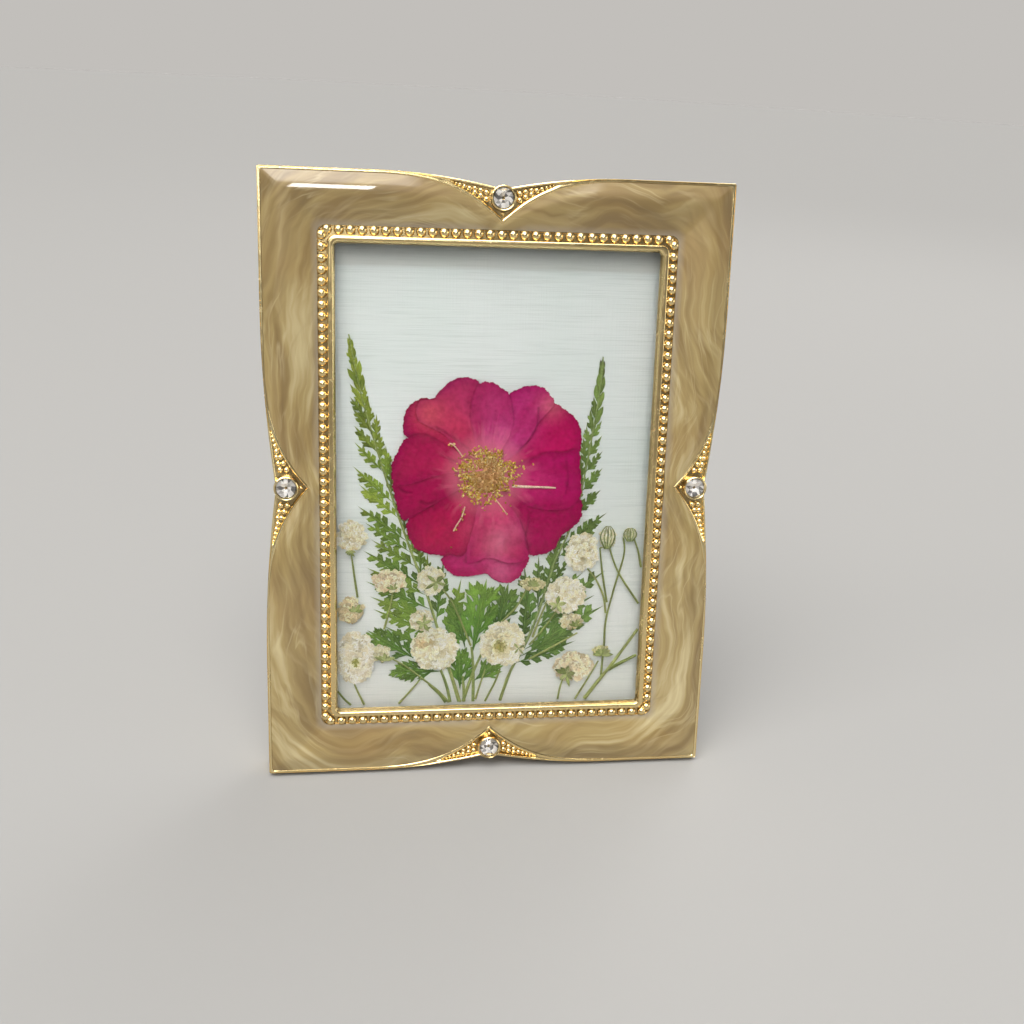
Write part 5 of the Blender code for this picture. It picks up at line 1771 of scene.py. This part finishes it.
        def paint(co: Vector) -> Vector:
            spot = Vector((co.x, co.z, 0.0))
            gap = self.edges[petal.name].find(spot)[2]
            tone = edge_tone.lerp(body, smoothstep(0.0, 3.2, gap))
            for x, z, reach, code, share in self.patches:
                part = share * exp(-(((spot - Vector((x, z, 0.0))).length / reach) ** 2))
                tone = tone.lerp(Vector(linear(code)), part)
            # Painted shade: creases, the last 0.35 mm inside the outline, and the places just under an upper
            # petal's edge are drawn darker
            crease = exp(-((self.crease_tree.find(spot)[2] / 0.35) ** 2))
            shadow = max((exp(-((tree.find(spot)[2] / 0.25) ** 2)) for tree in above), default=0.0)
            far = smoothstep(8.0, 17.0, dist(spot.xy, ROSE_HEART))
            edge = 1 - 0.25 * far * (1 - smoothstep(0.0, 0.35, gap))
            return tone * self.dried * edge * (1 - 0.35 * crease) * (1 - 0.3 * far * shadow)

        return tinted(mapped_grid(count, 2 * self.rings, place), paint)

    def stamens(self) -> Mesh:
        """The pale claws' floor, the pistils, a ring of anthers on threads, and a few strays."""
        rng = random.Random(7)
        hx, hz = ROSE_HEART
        base = bmesh.new()
        bmesh.ops.create_circle(base, cap_ends=True, segments=40, radius=self.floor_radius)
        base.transform(Matrix.Translation(PRESS.at(hx, hz, PRESS.stamen)) @ Matrix.Rotation(pi / 2, 4, "X"))
        parts = [tinted(base, Vector(linear(self.floor_tone)))]
        for n in range(self.anthers):
            # One in five is a pistil in the middle
            ring = n % 5
            away = abs(rng.gauss(self.anther_ring, 1.1)) if ring else 3.6 * sqrt(rng.random())
            angle = rng.uniform(0, 2 * pi)
            away *= 1.0 + 0.1 * sin(3 * angle + 1) + 0.08 * sin(7 * angle)
            x, z = hx + away * cos(angle), hz + away * sin(angle)
            tone = rng.choice(self.golds if ring else self.pistils)
            size = rng.uniform(0.29, 0.52) if ring else rng.uniform(0.4, 0.62)
            parts.append(anther(x, z, PRESS.stamen + 0.05 + 0.26 * rng.random(), size, tone, rng))
        for x, z in self.strays:
            size, tone = rng.uniform(0.3, 0.42), rng.choice(self.golds)
            parts.append(anther(x, z, PRESS.stamen + 0.03, size, tone, rng))
        for n in range(self.threads):
            angle = 2 * pi * (n + rng.random()) / self.threads
            near, far, sway = rng.uniform(2.6, 4.4), rng.uniform(5.6, 7.6), rng.uniform(-0.3, 0.3)
            reach = ((near, 0.0), ((near + far) / 2, sway * 0.3), (far, sway))
            points = [(hx + r * cos(angle + s), hz + r * sin(angle + s)) for r, s in reach]
            thread = stalk(points, 0.15, 0.11, PRESS.stamen + 0.1, 3)
            parts.append(tinted(thread, blended("#C08C50", "#F0D6A0", rng.random())))
        for n, points in enumerate(self.long_threads):
            thread = stalk(points, 0.36 if n else 0.75, 0.34 if n else 0.4, PRESS.stamen + 0.02)
            parts.append(tinted(thread, blended("#F8DCC4", "#F0BCA4", n / 3)))
        return merged(parts)

    def build(self) -> None:
        """Make and dress the petals and the stamens."""
        tissue = RoseTissue().material()
        for petal in ROSE_PETALS:
            node = "rose_petal_" + petal.name
            add_piece(self.petal(petal), "pressed_" + node, tissue, Slot.ROSE, [node], smooth=70)
        pollen = PressedPlant("rose_stamens_pressed", "#DDB87C", "#C4944A", vein_share=0.0).material()
        add_piece(self.stamens(), "pressed_stamens", pollen, Slot.STAMENS, ["rose_stamens"], smooth=60)


class Lie(Enum):
    """How a small flower lies under the glass."""

    FACE = "face"
    BACK = "back"
    SIDE = "side"
    BUD = "bud"
    STEM = "stem"


@dataclass(frozen=True)
class SmallFlower:
    """One small white flower or green bud: its bloom, its stems and its green sepals.

    The heart is (x, z, radius, colour), the star is (x, z, length, count, turn in degrees).
    """

    name: str
    lie: Lie
    centre: Spot = (0.0, 0.0)
    size: Spot = (0.0, 0.0)
    stems: tuple[tuple[Spot, ...], ...] = ()
    widths: Spot = (0.42, 0.6)
    heart: tuple[float, float, float, str] | None = None
    star: tuple[float, float, float, int, float] | None = None
    tip: str = "#FFFAE0"
    foot: str = "#B8964E"
    level: int = 0


@dataclass
class FlowerMaker:
    """Builds the small flowers: crumpled petals, sepals, buds and stems."""

    cream: Material
    green: Material

    def floret(
        self, spot: Spot, way: float, size: float, wide: float, height: float,
        flower: SmallFlower, rng: random.Random,
    ) -> Mesh:
        """One crumpled petal, fanned out from its foot and paler towards its tip; the darker foot is partly
        its own colour and partly painted shade where petals overlap.

        Args:
            spot: Its foot in plan.
            way: The direction that it points in.
            size: Its length.
            wide: Its width.
            height: Its foot's height in front of the silk.
            flower: The flower whose colours it has.
            rng: The flower's random numbers.
        Returns:
            The mesh.
        """
        steps, phase, curl = 4, rng.uniform(0, 6), rng.uniform(0.02, 0.28)
        foot, light = Vector(spot), rng.uniform(0.68, 1.62)
        ahead, across = Vector((cos(way), sin(way))), Vector((-sin(way), cos(way)))

        def place(i: int, j: int) -> Vector:
            side, out = (2 - abs(i % 8 - 4)) / 2, j / steps
            under = 0.03 if 0 < i < 4 and 0 < j < steps else 0.0
            reach = out * (1 - 0.22 * side * side) * (1 + 0.1 * sin(5 * side + phase))
            half = wide / 2 * side * (0.3 + 1.4 * out - 0.75 * out * out)
            here = foot + ahead * size * reach + across * half
            ruffle = 0.1 * sin(4.8 * side + phase) * out + curl * out * out
            return PRESS.at(here.x, here.y, height + ruffle - under)

        tones = Vector(linear(flower.foot)), Vector(linear(flower.tip))
        heart = flower.heart or (0.0, 0.0, 0.01, flower.foot)

        def paint(co: Vector) -> Vector:
            here = Vector((co.x, co.z))
            out = min(1.0, (here - foot).length / size)
            near = exp(-(((here - Vector(heart[:2])).length / heart[2]) ** 2))
            # Painted shade in part: the petal is darker at its foot, where petals overlap
            tone = tones[0].lerp(tones[1], out**0.5).lerp(Vector(linear(heart[3])), 0.8 * near) * light
            return Vector(min(0.97, part) for part in tone)

        return tinted(mapped_grid(8, steps, place), paint)

    def bloom(self, flower: SmallFlower, rng: random.Random) -> list[Mesh]:
        """The crumpled petals of one bloom, the outer ones lowest; one on its side fans up from its calyx."""
        (cx, cz), (wide, high) = flower.centre, flower.size
        wide, high = 0.93 * wide, 0.93 * high
        low, side_on = PRESS.stem + 0.12 + 0.28 * flower.level, flower.lie is Lie.SIDE
        root = Vector((cx, cz - 0.5 * high if side_on else cz))
        count, parts = round(1.3 * wide * high) + 14, []
        for n in range(count):
            share = sqrt((n + 0.5) / count)
            angle = 2.4 * n + rng.uniform(-0.3, 0.3)
            size = rng.uniform(0.12, 0.2) * (wide + high) / 2 + 0.6
            near = max(0.0, share * (1 - 1.5 * size / (wide + high))) * rng.uniform(0.95, 1.04)
            spot = Vector((cx + wide / 2 * near * cos(angle), cz + high / 2 * near * sin(angle)))
            off = spot - root
            out = min(1.0, off.length / max(wide, high)) if side_on else share
            height = low + 0.45 * (1 - out) + rng.uniform(0, 0.12)
            way = atan2(off.y, off.x) + rng.uniform(-0.8, 0.8) * (1.0 if share > 0.4 else 4.0)
            foot = spot - Vector((cos(way), sin(way))) * size * 0.35
            broad = size * rng.uniform(0.7, 1.0)
            parts.append(self.floret(tuple(foot), way, size, broad, height, flower, rng))
        return parts

    def bud(self, flower: SmallFlower, rng: random.Random) -> list[Mesh]:
        """The green bracts of a closed bud, drawn together at the top."""
        (cx, cz), (wide, high) = flower.centre, flower.size
        parts = []
        for n in range(5):
            share, order = (n - 2) / 2, 2 - abs(n - 2)
            points = ((share * 0.14, -0.5), (share * 0.44, -0.02), (share * 0.3, 0.34), (share * 0.1, 0.5))
            path = [(cx + x * wide, cz + z * high) for x, z in points]
            scale = stalk(path, 0.11 * wide, 0.03 * wide, PRESS.stem + 0.8 + 0.09 * order, 4)
            parts.append(tinted(scale, blended("#6E7E42", "#C0C890", (n % 2) * 0.5 + 0.4 * rng.random())))
        return parts

    def greens(self, flower: SmallFlower, rng: random.Random) -> list[Mesh]:
        """Stems, sepals, and the pollen in the heart of a bloom that faces out."""
        low = PRESS.stem + 0.12 + 0.28 * flower.level
        parts = self.bud(flower, rng) if flower.lie is Lie.BUD else []
        for stem in flower.stems:
            green = blended("#8C9852", "#AAB06C", rng.random())
            parts.append(tinted(stalk(stem, *flower.widths, low), green))
        if flower.star:
            x, z, length, count, turn = flower.star
            for n in range(count):
                spread = pi if flower.lie is Lie.SIDE else 2 * pi
                angle = radians(turn) + spread * (n + rng.uniform(-0.3, 0.3)) / count
                reach = length * rng.uniform(0.7, 1.25)
                tip = x + reach * cos(angle), z + reach * sin(angle)
                foot = x - 0.1 * reach * cos(angle), z - 0.1 * reach * sin(angle)
                inner = blended("#8C9A50", "#C4C88C", rng.random())
                outer = blended("#5E6E30", "#A8AE6C", rng.random())
                height = low + 0.68 + rng.uniform(0, 0.05)
                wide = rng.uniform(0.28, 0.44) * length
                parts.append(Blade(foot, tip, wide, 0, height, inner, outer).mesh(rng))
        if flower.heart and flower.lie is Lie.FACE:
            hx, hz, radius, tone = flower.heart
            for _ in range(40):
                away, angle = radius * rng.random() ** 0.6, rng.uniform(0, 2 * pi)
                x, z = hx + away * cos(angle), hz + away * sin(angle)
                parts.append(anther(x, z, low + 0.74, rng.uniform(0.18, 0.3), tone, rng))
        return parts

    def build(self, flower: SmallFlower) -> None:
        """Make and dress one flower."""
        rng = random.Random(flower.name)
        slot = Slot.BUD if flower.name.startswith("green") else Slot.WHITE
        replaced = [flower.name]
        if flower.size[0] and flower.lie is not Lie.STEM:
            petals = merged(self.bloom(flower, rng))
            add_piece(petals, "pressed_" + flower.name, self.cream, slot, replaced, smooth=70)
            replaced = []
        greens = self.greens(flower, rng)
        if greens:
            add_piece(merged(greens), flower.name + "_greens", self.green, slot, replaced, smooth=60)


SMALL_FLOWERS = (
    SmallFlower("white_flower_left_edge", Lie.SIDE, (-36.2, -13.4), (8.4, 8.8),
        (((-36.3, -17), (-35.4, -24), (-34.6, -29.6)),), star=(-36.6, -16.9, 1.7, 5, 200)),
    SmallFlower("white_flower_left_cup", Lie.SIDE, (-26.5, -25.4), (10.0, 6.6),
        (((-25.6, -28), (-26.4, -33), (-27.8, -38.4)),), star=(-25.4, -27.4, 1.7, 4, 30),
        tip="#F4E4C8", foot="#CDA57E"),
    SmallFlower("white_flower_half_open", Lie.BACK, (-15.8, -25.3), (7.6, 8.2),
        (((-13.6, -26.6), (-9.8, -32), (-5, -43.4)), ((-11, -48), (-9.4, -53), (-7.5, -59.2))),
        star=(-14.4, -25.6, 3.0, 5, 60), foot="#A89A68"),
    SmallFlower("white_flower_left_low", Lie.SIDE, (-36.4, -33.2), (7.4, 8.0),
        star=(-35.2, -33.2, 2.4, 4, 20),
        tip="#EFE0BE", foot="#C4A878"),
    SmallFlower("white_flower_left_loose", Lie.FACE, (-35.2, -46), (10.6, 15.0),
        (((-36, -52), (-34.4, -56), (-32.9, -59.2)), ((-40, -55), (-38, -57.6), (-36.4, -59.2))),
        heart=(-35.2, -47.2, 1.1, "#B4B048"), tip="#F6F0DE", foot="#DCD2B0"),
    SmallFlower("white_flower_tucked", Lie.BACK, (-18.2, -36.0), (6.6, 6.0), star=(-17.6, -36.8, 2.6, 5, 75)),
    SmallFlower("white_flower_large", Lie.BACK, (-14.6, -44.0), (13.0, 12.0),
        heart=(-18.0, -42.5, 2.0, "#D2AE7E")),
    SmallFlower("white_bud_left", Lie.SIDE, (-28.4, -45.0), (5.0, 5.6),
        (((-27.6, -45.6), (-22.6, -48.4), (-17.6, -52.4), (-13.4, -56), (-10.6, -59.2)),
        ((-17.9, -52), (-20.6, -55.4), (-23.9, -59.2))), star=(-27.6, -46.8, 2.5, 6, 10),
        tip="#EEE9CC", foot="#A8A468"),
    SmallFlower("white_flower_right_top", Lie.BACK, (23.8, -18), (9.0, 11.4),
        (((25.5, -22.6), (28, -25.8), (30.2, -30.4), (31, -35)),)),
    SmallFlower("white_flower_right_middle", Lie.BACK, (19.8, -29.8), (11.0, 10.6),
        (((18.4, -33), (14.8, -38.4), (10.6, -43.6)), ((17.4, -26), (14.4, -33), (11.4, -41.4))),
        star=(17.6, -32.2, 2.8, 5, 20)),
    SmallFlower("white_flower_right_tucked", Lie.SIDE, (21.6, -37.2), (7.0, 4.8),
        (((23.6, -40.4), (18, -43.6), (10.6, -47.6)),), star=(22.8, -38.4, 2.0, 5, 15), tip="#EEE8C8"),
    SmallFlower("white_flower_centre", Lie.FACE, (3.4, -43), (12.4, 13.0),
        (((6.5, -49), (4.8, -53), (3.2, -59.2)), ((3, -50), (1.6, -54), (-0.9, -59.2)),
        ((-1, -50), (-2.2, -54), (-3.5, -58.6))),
        heart=(2.6, -43.6, 2.0, "#B2A842"), star=(7.6, -44.2, 1.8, 4, 30)),
    SmallFlower("white_flower_low_right", Lie.BACK, (22.8, -49.9), (11.4, 8.6),
        (((20.2, -53), (19.4, -56), (18.9, -59.2)),), star=(20.8, -51.8, 3.2, 7, 15), tip="#F2E4CC"),
    SmallFlower("white_bud_under_rose", Lie.SIDE, (10.9, -26.7), (8.0, 3.4),
        (((9.4, -28), (7, -32.6), (3, -37)),), star=(10.9, -27.0, 2.2, 7, 10), tip="#E8E2B8", foot="#9C9C60"),
    SmallFlower("green_bud_star", Lie.SIDE, (30.0, -45.6), (5.4, 3.4),
        (((29.6, -48.4), (26.8, -53.6), (23.6, -59.2)),),
        star=(30.2, -46.6, 2.8, 8, 10), level=1, tip="#E0DDB0", foot="#8C9450"),
    SmallFlower("green_bud_round", Lie.BUD, (30.4, -14), (4.4, 6.2),
        (((31, -16.6), (33.8, -23.6), (39.8, -32.4)),),
        star=(29.4, -16.4, 1.5, 3, 80), level=1, tip="#F0EED6", foot="#A8AE78"),
    SmallFlower("green_bud_small", Lie.BUD, (36.4, -13.3), (4.0, 3.6),
        (((34.8, -14.2), (35.2, -19), (33, -28), (31.2, -37), (31, -44), (30.6, -52.6)),
        ((37.4, -13.8), (39, -18), (40, -22.4)), ((28.6, -17), (29.6, -24), (31.2, -32))),
        tip="#E8E8CA", foot="#9CA46C"),
    SmallFlower("green_stem_right", Lie.STEM,
        stems=(((26.2, -59.2), (30.4, -53.4), (33.4, -49.4), (40, -39.6)),
        ((32.4, -51), (36, -49), (40, -47))), widths=(1.1, 0.75), level=1),
)


@dataclass
class Spray:
    """Everything pressed under the glass."""

    # Stalks that cross at the foot of the spray
    stalks: tuple[tuple[Spot, ...], ...] = (
        ((-4.8, -43.8), (-4.2, -50), (-4.1, -59.2)),
        ((-13.4, -48.8), (-11.4, -54), (-10.2, -59.2)),
        ((-7, -52), (-6.6, -56), (-6.5, -59.2)),
        ((-2.2, -46), (-4.6, -52), (-6.8, -59.2)),
        ((-16, -54), (-13, -57), (-11.4, -59.2)),
    )

    def build(self) -> None:
        """Make and dress the ferns, the leaves, the rose and the small flowers."""
        bloom = "#C0C0C0"
        frond = PressedPlant("fern_frond_pressed", "#BCC87C", "#3E6422", 0.4, grain=bloom).material()
        leaf = PressedPlant("toothed_leaf_pressed", "#B4C878", "#34581E", 0.42, 1.6, bloom).material()
        LEFT_FERN.build(frond)
        RIGHT_FERN.build(frond)
        rng = random.Random(5)
        for one in LOW_LEAVES:
            tones = blended(one.tone, "#1E4A14", 0.25), blended(one.tone, "#A0BA50", 0.5)
            blade = Blade(one.base, one.tip, one.width, one.lobes, one.height, *tones)
            parts = [blade.mesh(rng)]
            if one.node == "leaf_low_middle":
                for points in self.stalks:
                    green = blended("#7C9048", "#9CA862", rng.random())
                    parts.append(tinted(stalk(points, 0.6, 0.9, PRESS.leaf + 0.16), green))
            add_piece(merged(parts), "pressed_" + one.node, leaf, Slot.LEAF, [one.node], smooth=60)
        Rose().build()
        cream = PressedPlant(
            "white_petals_pressed", "#FFFAEC", "#E6D09C", 0.1, grain="#DED4B8", depth_mm=0.14
        ).material()
        green = PressedPlant("green_stem_pressed", "#C2C68C", "#7C8844", 0.3).material()
        maker = FlowerMaker(cream, green)
        for flower in SMALL_FLOWERS:
            maker.build(flower)


@dataclass
class Studio:
    """The pale floor, the soft lights and the camera."""

    camera_place: Spot3 = (-0.03729, -0.27184, 0.18101)
    camera_turn: Spot3 = (66.889, -3.092, -7.857)
    lens: float = 39.2
    horizon: str = "#C2BFBB"
    horizon_front: str = "#7C7A78"
    zone: str = "#55565A"
    ceiling: str = "#C8C8C8"
    # Middle, half width in degrees, radiance and colour of each soft light
    soft_lights: tuple[tuple[Spot3, float, float, str], ...] = (
        ((-0.2, -0.45, 0.9), 25.0, 8.6, "#FFFDFA"),
        ((0.5, 0.6, 0.8), 22.0, 2.4, "#FFFFFF"),
        ((0.92, -0.38, 0.16), 14.0, 2.0, "#FFFFFF"),
    )

    def floor(self) -> None:
        """A pale floor that isn't part of the object."""
        bm = bmesh.new()
        bmesh.ops.create_circle(bm, cap_ends=True, segments=96, radius=4.0)
        made = placed("floor", mesh_data(bm, "floor"))
        made.data.materials.append(PaleFloor().material())

    def light(self, name: str, place: Spot3, size: Spot, power: float) -> None:
        """A softbox that faces the object's middle.

        Args:
            name: Its name.
            place: Where it stands.
            size: Its width and height in metres.
            power: Its watts.
        """
        data = bpy.data.lights.new(name, "AREA")
        data.shape = "RECTANGLE"
        data.size, data.size_y = size
        data.energy = power
        made = placed(name, data)
        made.location = place
        made.rotation_euler = (Vector((0, 0, 0.075)) - Vector(place)).to_track_quat("-Z", "Y").to_euler()

    def surround(self) -> None:
        """The studio round the object: a pale horizon, a darker zone over it and the soft lights."""
        world = bpy.data.worlds.new("studio")
        world.use_nodes = True
        add = partial(add_node, world.node_tree)
        toward = add("TexCoord").outputs["Generated"]
        split = add("SeparateXYZ", Vector=toward)
        back = add("MapRange", {1: -0.8, 2: -0.1}, Value=split.outputs["Y"])
        low = add("Mix", BLEND, i0=back, i6=self.horizon_front, i7=self.horizon)
        rise = add("MapRange", {1: 0.12, 2: 0.3}, Value=split.outputs["Z"])
        stops = [(0.3, self.zone), (0.6, self.zone), (0.95, self.ceiling)]
        high = add("ValToRGB", stops, Fac=split.outputs["Z"])
        tone = add("Mix", BLEND, i0=rise, i6=low, i7=high)
        for place, half_width, power, tint in self.soft_lights:
            aim = add("VectorMath", "DOT_PRODUCT", i0=toward, i1=Vector(place).normalized())
            edge = cos(radians(half_width + 6)), cos(radians(half_width - 6))
            share = add("MapRange", {1: edge[0], 2: edge[1], 4: power}, Value=aim)
            light = add("Mix", STAIN, i0=1.0, i6=tint, i7=share)
            tone = add("Mix", {"data_type": "RGBA", "blend_type": "ADD"}, i0=1.0, i6=tone, i7=light)
        feed(world.node_tree.nodes["Background"], Color=tone)
        bpy.context.scene.world = world

    def build(self) -> None:
        """Set the stage, the lights and the camera."""
        self.floor()
        self.surround()
        self.light("lamp_over_camera", (-0.05, -0.8, 0.48), (0.08, 0.24), 1.3)
        self.light("lamp_left", (-0.8, -0.3, 0.7), (0.2, 0.2), 1.2)
        self.light("lamp_back", (0.5, 0.7, 0.7), (0.25, 0.25), 1.5)
        bpy.context.scene.view_settings.view_transform = "Standard"
        data = bpy.data.cameras.new("camera")
        data.lens = self.lens
        data.clip_start, data.clip_end = 0.01, 20.0
        camera = placed("camera", data)
        camera.location = self.camera_place
        camera.rotation_euler = Euler([radians(a) for a in self.camera_turn])
        bpy.context.scene.camera = camera


def main() -> None:
    """Build and dress the whole object, then the studio."""
    logging.basicConfig(level=logging.INFO, format="%(message)s")
    GoldCasting().build()
    EnamelBorder().build()
    Stones().build()
    velvet = FlockedVelvet().material()
    Backing().build(velvet)
    Easel().build(velvet)
    Spray().build()
    Studio().build()


if __name__ == "__main__":
    main()
